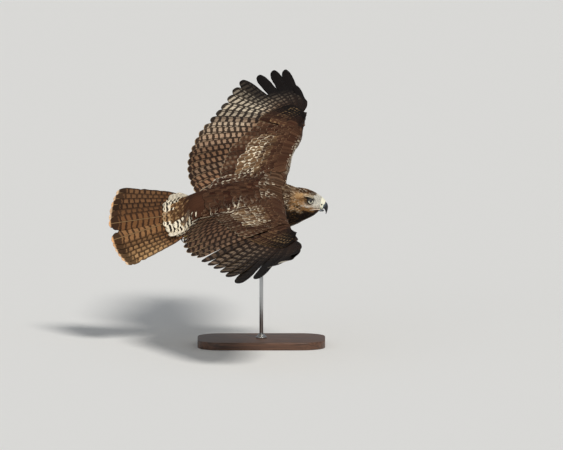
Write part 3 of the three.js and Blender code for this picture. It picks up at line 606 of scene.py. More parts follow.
class WingSurface:
    """A wing's curved surface: outward, forward and height above it become a point on the bird."""

    def __init__(self, pose):
        self.pose = pose
        self.side = pose["side"]

    def share(self, s):
        return smooth((s - WRIST + 45) / 90)

    def front(self, s):
        """Leading edge of the flesh."""
        return along(LEADING_AT, LEADING, s) + along(FOLD_AT, self.pose["bulge"], s)

    def rise(self, s):
        return np.radians(lerp(self.pose["arm"][0], self.pose["hand"][0], self.share(s)))

    def camber(self, s, c):
        chord = np.maximum(60, 262 - 0.42 * np.maximum(0, s - 150))
        part = np.clip(-c / chord, 0, 1)
        return 14 * (1 - smooth((s - 120) / 330)) * 4 * part * (1 - part)

    def __call__(self, outward_by, forward_by, height):
        outward_by, forward_by, height = np.broadcast_arrays(outward_by, forward_by, height)
        turn = math.radians(self.pose["sweep"]) * np.clip((outward_by - WRIST + 60) / 90, 0, 1)
        s = WRIST + (outward_by - WRIST) * np.cos(turn) - forward_by * np.sin(turn)
        c = (outward_by - WRIST) * np.sin(turn) + forward_by * np.cos(turn)
        steps = 24
        at = (np.arange(steps) + 0.5) / steps
        angles = self.rise(s[..., None] * at)
        y = np.cos(angles).sum(-1) * s / steps
        z = np.sin(angles).sum(-1) * s / steps
        angle = self.rise(s)
        tilt = np.radians(lerp(self.pose["arm"][1], self.pose["hand"][1], self.share(s)))
        h = height + self.camber(s, c)
        ahead = c * np.cos(tilt) - h * np.sin(tilt)
        above = c * np.sin(tilt) + h * np.cos(tilt)
        return np.stack([
            SHOULDER[0] + ahead,
            (SHOULDER[1] + y - above * np.sin(angle)) * self.side,
            SHOULDER[2] + z + above * np.cos(angle)], axis=-1)

    def flesh(self, s, c, inset=0.0):
        """How far the flesh stands above and below the surface."""
        front, back = self.front(s), along(FLESH_AT, FLESH_BACK, s)
        thick = thickness(np.clip((front - c) / np.maximum(front - back, 1), 0, 1))
        there = (c <= front) & (c >= back)
        return (np.where(there, along(FLESH_AT, FLESH_TOP, s) * thick - inset, 0),
                np.where(there, along(FLESH_AT, FLESH_BOTTOM, s) * thick - inset, 0))

    def place(self, points, s, c):
        """Outward, forward and height of points near first guesses."""
        for _ in range(3):
            here = self(s, c, np.zeros_like(s))
            ds = self(s + 1, c, np.zeros_like(s)) - here
            dc = self(s, c + 1, np.zeros_like(s)) - here
            d = points - here
            s = s + np.clip((d * ds).sum(-1) / (ds * ds).sum(-1), -15, 15)
            c = c + np.clip((d * dc).sum(-1) / (dc * dc).sum(-1), -15, 15)
        up = self(s, c, np.ones_like(s)) - self(s, c, np.zeros_like(s))
        return s, c, ((points - self(s, c, np.zeros_like(s))) * up).sum(-1)


SURFACES = {name: WingSurface(pose) for name, pose in WINGS.items()}
FLESH_END = 315


def wing_rings(surface):
    """Rings of a wing's flesh, inside its outline by the depth of the coat."""
    parts = np.array([0, 0.03, 0.08, 0.16, 0.26, 0.38, 0.5, 0.62, 0.74, 0.86, 0.95, 1])
    rings = []
    for s in np.linspace(FLESH_AT[0], FLESH_END, 40):
        front, back = surface.front(s) - 1.8, along(FLESH_AT, FLESH_BACK, s) + 4
        c = lerp(front, back, parts)
        thick = thickness(parts)
        high = np.maximum(along(FLESH_AT, FLESH_TOP, s) - COAT_DEPTH["wing"], 1.6) * thick + 1.1
        low = -np.maximum(along(FLESH_AT, FLESH_BOTTOM, s) - COAT_DEPTH["wing"], 1.2) * thick - 0.9
        rings.append(np.concatenate([surface(s, c, high), surface(s, c, low)[::-1]]))
    return rings


# Skin


def sided(points, side):
    """The same points on the left (1) or the right (-1)."""
    return np.array(points, float) * np.array([1, side, 1])


def thigh_line(side):
    """Knee, middle of the thigh and heel."""
    middle = np.add(KNEE, HEEL) / 2
    middle[2] = THIGH_MIDDLE
    return sided([KNEE, middle, HEEL], side)


def eye_at(side, ahead=0, out=0):
    """Centre of an eyeball on the head, or a point ahead of it and out from it."""
    return np.array([EYE["x"] + ahead, side * (EYE["y"] + out), EYE["z"]])


def build_skin():
    """One smooth closed skin over trunk, head, thighs and the flesh of the wings."""
    rings, _, _ = trunk_rings(48)
    shells = [loft(rings)]
    for surface in SURFACES.values():
        shells.append(loft(wing_rings(surface)))
    for side in (1, -1):
        thick = [r - COAT_DEPTH["thigh"] for r in THIGH_RADII]
        shells.append(loft(tube_rings(thigh_line(side), thick, 20, 16)))
        shells.append(loft(tube_rings(on_head(sided(BROW[0], side)), BROW[1], 12, 12)))
    points, faces = [], []
    for shell, shell_faces in shells:
        faces.extend([[i + len(points) for i in face] for face in outward(shell, shell_faces)])
        points.extend(shell)
    base = linked("skin_base", mesh_of("skin_base", to_world(points), faces))
    remesh = base.modifiers.new("Join", "REMESH")
    remesh.mode = "VOXEL"
    remesh.voxel_size = VOXEL * MM
    relax = base.modifiers.new("Relax", "SMOOTH")
    relax.factor = 0.5
    relax.iterations = 4
    depsgraph = bpy.context.evaluated_depsgraph_get()
    mesh = bpy.data.meshes.new_from_object(base.evaluated_get(depsgraph))
    bpy.data.objects.remove(base)
    mesh.name = "skin"
    # The valley between the back and each wing's root is filled and rounded
    world = read(mesh.vertices, "co", 3)
    x, y, z = from_world(world).T
    weight = ramp(np.abs(y), 34, 48) * ramp(-np.abs(y), -92, -74) * ramp(z, 4, 18) * ramp(x, -40, -10)
    relaxed = even_out(mesh, world, 60)
    mesh.vertices.foreach_set("co", lerp(world, relaxed, 0.9 * weight[:, None]).ravel())
    mesh.update()
    mesh.polygons.foreach_set("use_smooth", [True] * len(mesh.polygons))
    return linked("skin", mesh)


TRUNK, TOP_LEFT, LOW_LEFT, TOP_RIGHT, LOW_RIGHT, THIGH_LEFT, THIGH_RIGHT = range(7)
# Label of each wing's upper side. Its lower side has the next one.
TOPS = {"left": TOP_LEFT, "right": TOP_RIGHT}
THIGHS = {THIGH_LEFT: 1, THIGH_RIGHT: -1}


def survey(mesh):
    """Where each point of the skin is: its region, and its place on the trunk, wings and thighs."""
    points = from_world(read(mesh.vertices, "co", 3))
    rings, centres, ups = trunk_rings(32)
    marks, labels, guesses = [], [], []
    for k, ring in enumerate(rings):
        marks.extend(ring)
        labels.extend([TRUNK] * len(ring))
        guesses.extend([(k, 0)] * len(ring))
    for name, top_label in TOPS.items():
        surface = SURFACES[name]
        for s in np.linspace(-35, FLESH_END + 4, 60):
            front, back = surface.front(s) - 2, along(FLESH_AT, FLESH_BACK, s) + 4
            c = lerp(front, back, np.linspace(0.02, 0.98, 16))
            high, low = surface.flesh(s, c, COAT_DEPTH["wing"])
            for label, h in ((top_label, np.maximum(high, 1.5)), (top_label + 1, -np.maximum(low, 1.2))):
                marks.extend(surface(s, c, h))
                labels.extend([label] * len(c))
                guesses.extend([(s, ci) for ci in c])
    for label, side in THIGHS.items():
        for k, ring in enumerate(tube_rings(thigh_line(side), [6, 16, 5], 12, 14)):
            marks.extend(ring)
            labels.extend([label] * len(ring))
            guesses.extend([(k, 0)] * len(ring))
    tree = KDTree(len(marks))
    for i, p in enumerate(marks):
        tree.insert(p, i)
    tree.balance()
    nearest = np.array([tree.find(p)[1] for p in points])
    labels, guesses = np.array(labels), np.array(guesses, float)
    found = {"points": points, "label": labels[nearest]}
    # Along the trunk: the ring's number and the angle round its axis
    k = np.clip(np.searchsorted(centres[:, 0], points[:, 0]), 1, len(centres) - 1)
    share = np.clip((points[:, 0] - centres[k - 1, 0]) / (centres[k, 0] - centres[k - 1, 0]), 0, 1)
    axis = lerp(centres[k - 1], centres[k], share[:, None])
    up = unit(lerp(ups[k - 1], ups[k], share[:, None]))
    forward = unit(centres[k] - centres[k - 1])
    across = unit(np.cross(up, forward))
    arm = points - axis
    found["round"] = np.arctan2((arm * up).sum(-1), (arm * across).sum(-1))
    reach = np.concatenate([[0], np.cumsum(np.linalg.norm(np.diff(centres, axis=0), axis=1))])
    found["reach"] = (reach[k - 1] + share * (reach[k] - reach[k - 1])) / reach[-1]
    found["forward"] = forward
    found["head"] = from_head(points)
    for name, top_label in TOPS.items():
        mine = np.isin(found["label"], (top_label, top_label + 1))
        s, c = guesses[nearest, 0].copy(), guesses[nearest, 1].copy()
        s[~mine], c[~mine] = 100, -40
        found["wing_" + name] = np.stack(SURFACES[name].place(points, s, c), axis=-1)
    return found


def even_out(mesh, values, times):
    """Values at the points, smoothed along the edges."""
    a, b = read(mesh.edges, "vertices", 2, int).T
    count = np.bincount(a, minlength=len(values)) + np.bincount(b, minlength=len(values))
    for _ in range(times):
        total = np.zeros_like(values)
        for k, value in enumerate(values.T):
            total[:, k] = np.bincount(a, value[b], len(value)) + np.bincount(b, value[a], len(value))
        values = 0.5 * values + 0.5 * total / np.maximum(count, 1)[:, None]
    return values


def lie_of_coat(mesh, found):
    """The way that the feathers point at each point of the skin."""
    lie = -found["forward"].copy()
    head = found["head"]
    on_face = ramp(head[:, 0], -25, 0)[:, None]
    lie = lerp(lie, np.tile(HEAD_TURN @ np.array([-1.0, 0, 0]), (len(lie), 1)), on_face)
    for side in (1, -1):
        from_eye = head - eye_at(side)
        near = np.exp(-(np.linalg.norm(from_eye, axis=1) / 13.0) ** 2) * (found["label"] == TRUNK)
        lie += (unit(from_eye) @ HEAD_TURN.T) * near[:, None] * 1.2
    for name, top_label in TOPS.items():
        mine = np.isin(found["label"], (top_label, top_label + 1))
        s, c = found["wing_" + name][mine, 0], found["wing_" + name][mine, 1]
        surface, none = SURFACES[name], np.zeros(mine.sum())
        lean = 0.12 + 0.9 * ramp(s, 190, 300)
        lie[mine] = surface(s + lean, c - 1, none) - surface(s, c, none)
    for label, side in THIGHS.items():
        mine = found["label"] == label
        lie[mine] = (np.array(HEEL) - np.array(KNEE)) * np.array([1, side, 1])
    return unit(even_out(mesh, unit(lie), 14))


def coat_chart(mesh, found):
    """Corners of the skin's unwrap: the trunk unrolled, and the wings and thighs laid flat."""
    corners = read(mesh.loops, "vertex_index", kind=int)
    starts = read(mesh.polygons, "loop_start", kind=int)
    face_of = np.repeat(np.arange(len(starts)), read(mesh.polygons, "loop_total", kind=int))
    label = found["label"][corners[starts]][face_of]
    turn = found["round"][corners] / (2 * np.pi) + 0.5
    first = turn[starts][face_of]
    turn = np.where(turn - first > 0.5, turn - 1, np.where(first - turn > 0.5, turn + 1, turn))
    uv = np.stack([
        0.02 + 0.42 * np.clip(turn, -0.04, 1.04), 0.01 + 0.97 * found["reach"][corners]], axis=-1)
    for k, (name, lower) in enumerate((("left", 0), ("left", 1), ("right", 0), ("right", 1))):
        place = found["wing_" + name][corners]
        flat = np.stack([0.48 + 0.5 * np.clip((place[:, 0] + 40) / 365, 0, 1),
                         0.01 + 0.2 * k + 0.18 * np.clip((place[:, 1] + 135) / 160, 0, 1)], axis=-1)
        mine = label == TOPS[name] + lower
        uv[mine] = flat[mine]
    p, whole = found["points"][corners], 2 * np.pi
    for k, (thigh, side) in enumerate(THIGHS.items()):
        knee, heel = sided([KNEE, HEEL], side)
        line = heel - knee
        t = np.clip(((p - knee) @ line) / (line @ line), -0.2, 1.2)
        angle = np.arctan2(p[:, 2] + 48, np.abs(p[:, 1]) - 27)
        near = angle[starts][face_of]
        angle = np.where(
            angle - near > np.pi, angle - whole, np.where(near - angle > np.pi, angle + whole, angle))
        flat = np.stack([
            0.5 + 0.24 * k + 0.2 * (t + 0.2) / 1.4, 0.82 + 0.15 * np.clip(angle / whole + 0.5, 0, 1)], -1)
        mine = label == thigh
        uv[mine] = flat[mine]
    return uv


def mottle(mesh, seed, times):
    """Noise over the skin: random values evened out along the edges, from about -1 to 1."""
    values = np.random.default_rng(seed).normal(size=(len(mesh.vertices), 1))
    if times:
        values = even_out(mesh, values, times)
    return np.clip(values[:, 0] / values.std() / 1.6, -1, 1)


def paint(mesh, found, colours):
    """Colours and markings of the coat at each point of the skin, as the young bird wears them."""
    count = len(found["points"])
    code = palette(colours)
    tone, mark = np.tile(code["mantle"], (count, 1)), np.tile(code["edging"], (count, 1))
    fine, patch = mottle(mesh, 51, 0), mottle(mesh, 52, 6)
    tone[:] = lerp(tone, code["edging"], (0.3 * ramp(fine, 0.0, 0.8))[:, None])
    look = {name: np.zeros(count) for names in CARRIED.values() for name in names}
    look["fringe"] += 0.3
    size = np.full(count, 22.0)
    x = found["points"][:, 0]
    round_sin = np.sin(found["round"])
    trunk = found["label"] == TRUNK
    hx, hy, hz = found["head"].T
    ay = np.abs(hy)

    def wash(weight, name, target=tone):
        target[:] = lerp(target, code[name], np.clip(weight, 0, 1)[:, None])

    def bump(value, middle, width):
        return np.exp(-((value - middle) / width) ** 2)

    # Under parts: cream, streaked at the sides and banded with streaks across the belly
    below = ramp(-round_sin, -0.02, 0.4) * trunk
    thighs = (found["label"] >= THIGH_LEFT) * 1.0
    belly = np.maximum(below * (1 - ramp(x, 88, 112)), thighs)
    wash(belly, "belly")
    wash(belly * 0.35 * ramp(patch, -0.2, 0.9), "buff")
    wash(belly, "cream", mark)
    band, sides = bump(x, -12, 34) * below, bump(round_sin, -0.15, 0.3) * below
    look["streak"] = np.clip(0.95 * band + 0.75 * sides * ramp(x, -70, 10), 0, 0.95)
    look["streak"] *= 1 - ramp(x, 86, 110)
    look["bars"] = 0.35 * thighs + 0.3 * below * ramp(-x, 60, 100)
    look["fringe"] = np.where(belly > 0.5, 0.2, look["fringe"])
    # Nape and hind neck: dark brown with small cream flecks, most at the sides
    nape = ramp(x, 72, 98) * (1 - below) * trunk
    wash(nape, "crown")
    flecks = nape * lerp(0.25, 0.85, bump(round_sin, 0.35, 0.35)) * ramp(fine, 0.1, 0.7)
    wash(flecks * 1.5, "buff")
    wash(flecks * ramp(patch, -0.9, 0.0) * 1.3, "cream")
    wash(nape, "buff", mark)
    look["fringe"] = lerp(look["fringe"], 0.12, nape)
    look["streak"] = np.maximum(look["streak"], 0.45 * nape)
    size = lerp(size, 11, ramp(x, 62, 104))
    # Dark hollow of the neck, sides of the throat: dark plumage, made darker as painted shade under the head
    shaded_neck_side = ramp(x, 80, 100) * trunk * ramp(-hz, 3, 14) * ramp(-round_sin, -0.5, -0.05)
    wash(shaded_neck_side, "throat")
    look["streak"] = lerp(look["streak"], 0.0, shaded_neck_side)
    look["fringe"] = lerp(look["fringe"], 0.05, shaded_neck_side)
    chin = shaded_neck_side * (1 - ramp(ay, 7, 15)) * ramp(patch, -0.6, 0.4)
    wash(chin * 0.35, "belly")

    head = ramp(hx, -34, -20) * trunk
    # The underside of the head, which gets painted shade below
    low = ramp(-hz, 16, 23) * head
    # Crown: dark with a few cream flecks, streaked along the lie
    crown = head * np.maximum(ramp(hz, 22.5, 25.5), ramp(hz, 14, 18) * (1 - ramp(ay, 15, 21)))
    wash(crown, "crown")
    wash(crown * ramp(fine, 0.6, 0.9) * 0.7, "cream")
    wash(crown * ramp(patch, 0.4, 0.9) * 0.3, "cheek")
    # Ear coverts and hind cheek: black-brown and tan in streaks
    ear = head * (1 - crown) * ramp(hz, -24, -17) * (1 - ramp(hx, 4, 14))
    wash(ear, "cheek")
    wash(ear * ramp(fine * 0.7 + patch * 0.6, -0.15, 0.45) * lerp(0.45, 0.95, ramp(-hz, -6, 8)), "throat")
    wash(ear * ramp(-fine, 0.5, 0.9) * 0.7, "cream")
    # Cheek: tan behind the eye, paler grey-tan below it
    tan = head * ramp(hx, -18, -8) * (1 - ramp(hx, 1, 6)) * ramp(hz, -1, 4) * (1 - ramp(hz, 15, 19))
    wash(tan * 0.75, "cheek")
    wash(tan * ramp(fine, -0.6, 0.6) * 0.65, "crown")
    pale = head * ramp(hx, -4, 3) * ramp(hz, -6, -3) * (1 - ramp(hz, 4, 8)) * (1 - ramp(hx, 24, 28))
    wash(pale, "cheek")
    wash(pale * (0.4 + 0.35 * patch), "lores")
    streaks = head * ramp(hx, -2, 4) * ramp(hz, -15, -12) * (1 - ramp(hz, -5, -2)) * (1 - ramp(hx, 22, 30))
    wash(streaks, "cheek")
    wash(streaks * ramp(fine + 0.5 * patch, -0.3, 0.5) * 0.8, "crown")
    # Pale eyebrow, broad and buff behind the eye, thin and cream before it
    over_eye = 20.2 - 0.012 * np.minimum(hx, 0) ** 2
    eyebrow = head * bump(hz, over_eye, lerp(2.2, 4.0, ramp(-hx, -4, 14))) * ramp(hx, -27, -16) * (
        1 - ramp(hx, 24, 30)) * ramp(ay, 13, 17)
    wash(eyebrow * 1.6, "buff")
    wash(eyebrow * 1.5 * ramp(hx, -8, 12) * 0.9, "cream")
    # Whitish forehead and lores
    below_brow = 1 - ramp(hz, 23.5, 26.5) * (1 - ramp(hx, 21, 25))
    lores = head * ramp(hx, 17, 20.5) * ramp(hz, -3, 2) * below_brow
    wash(lores, "lores")
    wash(lores * (1 - ramp(hz, 1, 8)) * (0.3 + 0.25 * fine), "cheek")
    wash(lores * bump(hx - 0.45 * hz, 17, 1.3) * (1 - ramp(hz, 8, 11)) * 0.7, "crown")
    # Painted shadow of the brow: a dark line over, before and behind the eye, under the brow; then a dark
    # ring round the lids
    line = head * bump(hz, EYE["z"] + 5.0 + 0.05 * (hx - 9), 1.6) * ramp(hx, 0, 5) * (1 - ramp(hx, 18, 22))
    wash(line * ramp(ay, 14, 18) * 1.4, "throat")
    reach = np.hypot(hx - EYE["x"], hz - EYE["z"])
    wash(head * bump(reach, 6.9, 1.5) * ramp(ay, 14, 18) * 0.85, "throat")
    # Moustache and throat, black-brown: the dark malar and throat, darkened over the whole underside of the
    # head as painted shade
    moustache = head * ramp(-hz, 9.5, 14) * ramp(hx, -1, 6)
    wash(np.maximum(moustache, low) * 0.97, "throat")
    wash(np.maximum(moustache, low) * ramp(fine, 0.75, 1.0) * 0.3, "cheek")
    wash(low * (1 - ramp(ay, 6, 12)) * 0.3, "belly")
    for name, value in (("fringe", 0.0), ("spots", 0.0), ("streak", 0.12)):
        look[name] = lerp(look[name], value, head)
    size = lerp(size, 7.0, head)
    size = lerp(size, 3.9, ramp(hx, -2, 18) * head)
    # Wings: brown above with a pale edge before the wrist, cream below
    for name, top_label in TOPS.items():
        s, c, _ = found["wing_" + name].T
        top, under = found["label"] == top_label, found["label"] == top_label + 1
        front = SURFACES[name].front(s)
        size[top] = lerp(10, 16, ramp(front - c, 6, 50))[top]
        size[under] = 14
        pale_edge = top * bump(front - c, 0, 7) * ramp(s, 0, 60) * (1 - ramp(s, 150, 178))
        # On the right wing the pale edge is kept faint: painted shade, as that wing lies turned from the key
        # light
        pale_edge *= lerp(0.55, 1.0, bump(s, 105, 35)) * (1.0 if name == "left" else 0.15)
        wash(pale_edge * 1.4 * ramp(fine + 0.5 * patch, -0.3, 0.5), "cream")
        wash(pale_edge, "cream", mark)
        look["fringe"] = np.where(top, 0.2 + 0.4 * pale_edge, look["fringe"])
        wash(top * ramp(s, 196, 216) * (0.8 + 0.15 * fine), "finger")
        inside = ramp(front - c, 8, 20)
        wash(under * np.maximum(inside, 0.9 * bump(s, 92, 42) * (name == "left")), "belly")
        wash(under * inside * 0.3 * ramp(patch, -0.2, 0.9), "buff")
        patagium = under * bump(front - c, 24, 15) * (1 - ramp(s, 178, 205)) * ramp(s, 10, 60)
        wash(patagium * (0.85 + 0.3 * fine), "throat")
        wash(under * inside, "cream", mark)
        look["streak"] = np.where(under, 0.3 + 0.4 * patagium, look["streak"])
        look["fringe"] = np.where(under, 0.15, look["fringe"])
    rump = trunk * ramp(-x, 60, 84) * (1 - below)
    wash(rump * ramp(fine, 0.2, 0.8) * 0.5, "edging")
    look["fringe"] = lerp(look["fringe"], 0.7, rump)
    size = lerp(size, 15, rump)
    size = np.where(found["label"] >= THIGH_LEFT, 20.0, size)
    return tone, mark, look, size


# Coat of small feathers


def contour_feather(name, stations, columns, slim):
    """One small closed feather of length 1 along x, cupped, with a rounded tip."""
    t = np.concatenate([np.linspace(0, 0.7, stations - 2), [0.88, 0.97, 1.0]])
    width = slim * np.interp(t, [0, 0.3, 0.6, 0.8, 0.92, 0.97, 1.0], [0.35, 0.8, 1, 0.95, 0.7, 0.46, 0.16])
    a = np.linspace(-1, 1, columns + 1)
    grid_t, grid_a = np.meshgrid(t, a, indexing="ij")
    rise = 0.02 + 0.16 * grid_t - 0.1 * grid_a ** 2 * smooth(grid_t * 2)
    top = np.stack([grid_t, grid_a * width[:, None] / 2, rise], axis=-1)
    bottom = top.copy()
    bottom[..., 2] -= 0.035
    points, faces = closed_leaf(top, bottom)
    web = np.stack([grid_a, grid_t, rise], axis=-1)
    both = np.concatenate([web.reshape(-1, 3), web[1:-1, 1:-1].reshape(-1, 3)])
    both[len(t) * len(a):, 2] -= 0.035
    mesh = mesh_of(name, points, faces)
    store(mesh, "web", "FLOAT_VECTOR", "POINT", both)
    return bpy.data.objects.new(name, mesh)


def closed_leaf(top, bottom):
    """Points and faces of a thin leaf from two grids that share their border."""
    n, m = top.shape[0], top.shape[1]
    upper = np.arange(n * m).reshape(n, m)
    lower = upper.copy()
    lower[1:-1, 1:-1] = n * m + np.arange((n - 2) * (m - 2)).reshape(n - 2, m - 2)

    def quads(grid):
        return np.stack([grid[:-1, :-1], grid[1:, :-1], grid[1:, 1:], grid[:-1, 1:]], -1).reshape(-1, 4)

    points = np.concatenate([top.reshape(-1, 3), bottom[1:-1, 1:-1].reshape(-1, 3)])
    return points, np.concatenate([quads(upper), quads(lower)[:, ::-1]])


def coat_tree():
    """Geometry nodes that cover a skin with small feathers along its lie, hugging its form."""
    tree = bpy.data.node_groups.new("Coat", "GeometryNodeTree")
    for name, kind in (("Geometry", "Geometry"), ("Feather", "Object"), ("Where", "String"),
                       ("Spacing", "Float"), ("Lift", "Float"), ("Turn", "Float"), ("Seed", "Int"),
                       ("Patch", "Float"), ("Material", "Material")):
        tree.interface.new_socket(name, in_out="INPUT", socket_type="NodeSocket" + kind)
    tree.interface.new_socket("Geometry", in_out="OUTPUT", socket_type="NodeSocketGeometry")
    made = {socket.name: socket for socket in add(tree, "NodeGroupInput").node.outputs}
    for name in ("size", "chance", "up", "lie", "web", "root"):
        kind = "FLOAT" if name in ("size", "chance") else "FLOAT_VECTOR"
        made[name] = add(tree, "GeometryNodeInputNamedAttribute", {"Name": name}, data_type=kind)
    masked = add(tree, "GeometryNodeInputNamedAttribute", {"Name": made["Where"]}, data_type="FLOAT")
    for name, low, high, shift in (
            ("any", 0.0, 1.0, 3.0), ("larger", 0.86, 1.16, 5.0), ("swing", -1.0, 1.0, 7.0)):
        seed = add(tree, "ShaderNodeMath", {0: made["Seed"], 1: shift}, operation="ADD")
        made[name] = add(tree, "FunctionNodeRandomValue", {
            2: low, 3: high, "Seed": seed}, out=1, data_type="FLOAT")
    draw(tree, (
        ("scaled", "MULTIPLY", "size", "larger"), ("turn", "MULTIPLY", "swing", "Turn"),
        ("sway", "xyz", 0.0, 0.0, "turn"), ("full", "xyz", "size", "size", "size"),
        ("aside", "x", "web"), ("ahead", "y", "web"), ("rise", "z", "web"),
        # Each point is raised by its own height in the feather, more on some feathers
        ("more", "MULTIPLY", "chance", 0.5), ("more", "ADD", "more", 0.75),
        ("lay", "MULTIPLY", "rise", "size", "Lift", "more"),
        # Millimetres from the shaft and from the tip
        ("across", "MULTIPLY", "aside", "size", 250.0), ("left", "SUBTRACT", 1.0, "ahead"),
        ("from_tip", "MULTIPLY", "left", "size", 1000.0), ("span", "xyz", "across", "from_tip", "chance"),
        # The bake map: each feather is a small patch at its root's place on the skin's unwrap
        ("half", "MULTIPLY", "Patch", 0.5), ("patch_x", "MULTIPLY", "aside", "half"),
        ("patch_y", "SUBTRACT", "ahead", 0.5), ("patch_y", "MULTIPLY", "patch_y", "Patch"),
        ("patch", "xyz", "patch_x", "patch_y", 0.0)), made)
    root = add(tree, "ShaderNodeVectorMath", {0: made["root"], 1: made["patch"]}, operation="ADD")
    coat = add(tree, "GeometryNodeDistributePointsOnFaces", {
        "Mesh": made["Geometry"], "Distance Min": made["Spacing"], "Density Max": CROWD,
        "Density Factor": masked, "Seed": made["Seed"]}, distribute_method="POISSON")
    for name, value in (("chance", "any"), ("size", "scaled")):
        coat = add(tree, "GeometryNodeStoreNamedAttribute", {
            "Geometry": coat, "Name": name, "Value": made[value]}, data_type="FLOAT", domain="POINT")
    facing = add(tree, "FunctionNodeAxesToRotation", {
        "Primary Axis": made["up"], "Secondary Axis": made["lie"]}, primary_axis="Z", secondary_axis="X")
    sway = add(tree, "FunctionNodeEulerToRotation", {0: made["sway"]})
    facing = add(tree, "FunctionNodeRotateRotation", {0: facing, 1: sway}, rotation_space="LOCAL")
    feather = add(tree, "GeometryNodeObjectInfo", {"Object": made["Feather"]}, out=4)
    coat = add(tree, "GeometryNodeInstanceOnPoints", {
        "Points": coat, "Instance": feather, "Rotation": facing, "Scale": made["full"]})
    coat = add(tree, "GeometryNodeRealizeInstances", {0: coat})
    # Each point goes back to the skin below it and is raised along the skin's normal
    near = add(tree, "GeometryNodeProximity", {0: made["Geometry"]}, target_element="FACES")
    normal = add(tree, "GeometryNodeSampleNearestSurface", {
        "Mesh": made["Geometry"], "Value": made["up"]}, data_type="FLOAT_VECTOR")
    raised = add(tree, "ShaderNodeVectorMath", {0: normal, "Scale": made["lay"]}, operation="SCALE")
    final = add(tree, "ShaderNodeVectorMath", {0: near, 1: raised}, operation="ADD")
    coat = add(tree, "GeometryNodeSetPosition", {"Geometry": coat, "Position": final})
    for name, value, kind, domain in (
            ("span", made["span"], "FLOAT_VECTOR", "POINT"), ("OFBake", root, "FLOAT2", "CORNER")):
        coat = add(tree, "GeometryNodeStoreNamedAttribute", {
            "Geometry": coat, "Name": name, "Value": value}, data_type=kind, domain=domain)
    coat = add(tree, "GeometryNodeSetShadeSmooth", {"Geometry": coat, "Shade Smooth": True})
    coat = add(tree, "GeometryNodeSetMaterial", {"Geometry": coat, "Material": made["Material"]})
    add(tree, "NodeGroupOutput", {0: coat})
    return tree


def grown(name, base, tree, values):
    """The mesh that a tree of nodes makes on a base, as a piece of its own."""
    modifier = base.modifiers.new(name, "NODES")
    modifier.node_group = tree
    for item in tree.interface.items_tree:
        if item.in_out == "INPUT" and item.name in values:
            modifier[item.identifier] = values[item.name]
    base.update_tag()
    depsgraph = bpy.context.evaluated_depsgraph_get()
    mesh = bpy.data.meshes.new_from_object(base.evaluated_get(depsgraph), depsgraph=depsgraph)
    base.modifiers.remove(modifier)
    mesh.name = name
    for old in [a.name for a in mesh.attributes if a.name in ("lie", "up", "size", "root", "chance")
                or a.name.startswith("on_")]:
        mesh.attributes.remove(mesh.attributes[old])
    return linked(name, mesh)


# Vanes of wing and tail


class Plumes:
    """Feathers gathered into one mesh, with their markings and the bake map."""

    def __init__(self):
        self.points, self.faces, self.corners = [], [], []
        self.values = {name: [] for name in ("web", "span", "tone", "mark", *CARRIED)}
        self.under, self.count, self.vertices = [], 0, 0

    def add(self, top, bottom, web, span, up, look):
        points, faces = closed_leaf(top, bottom)
        middle = (top.shape[0] // 2, top.shape[1] // 2)
        a, b = top[middle[0] + 1, middle[1]] - top[middle], top[middle[0], middle[1] + 1] - top[middle]
        half = len(faces) // 2
        if np.dot(np.cross(a, b), up) < 0:
            faces = faces[:, ::-1]

        def spread(values):
            size = values.shape[-1]
            return np.concatenate([values.reshape(-1, size), values[1:-1, 1:-1].reshape(-1, size)])

        web_all = spread(web)
        count = len(points)
        self.points.append(points)
        self.faces.append(faces + self.vertices)
        self.values["web"].append(web_all)
        self.values["span"].append(spread(span))
        for name in ("tone", "mark"):
            self.values[name].append(np.tile(list(look[name])[:3] + [1.0], (count, 1)))
        for name, kinds in CARRIED.items():
            self.values[name].append(np.tile([look.get(kind, 0) for kind in kinds], (count, 1)))
        self.under.append(np.repeat([0.0, 0.0 if look.get("no_under") else 1.0], half))
        self.corners.append((web_all[faces.ravel(), :2], np.repeat([0, 1], half * 4) + 2 * self.count))
        self.count += 1
        self.vertices += count

    def piece(self, name):
        mesh = mesh_of(name, to_world(np.concatenate(self.points)), np.concatenate(self.faces))
        for key, values in self.values.items():
            kind = "FLOAT_COLOR" if key in ("tone", "mark") else "FLOAT_VECTOR"
            store(mesh, key, kind, "POINT", np.concatenate(values))
        store(mesh, "under", "FLOAT", "FACE", np.concatenate(self.under))
        cells = 2 * self.count
        columns = max(1, math.ceil(math.sqrt(cells * 4)))
        rows = math.ceil(cells / columns)
        web = np.concatenate([c[0] for c in self.corners])
        cell = np.concatenate([c[1] for c in self.corners])
        u = ((cell % columns) + 0.5 + 0.45 * web[:, 0]) / columns
        v = ((cell // columns) + 0.03 + 0.94 * web[:, 1]) / rows
        store(mesh, "OFBake", "FLOAT2", "CORNER", np.stack([u, v], axis=-1))
        return linked(name, mesh)


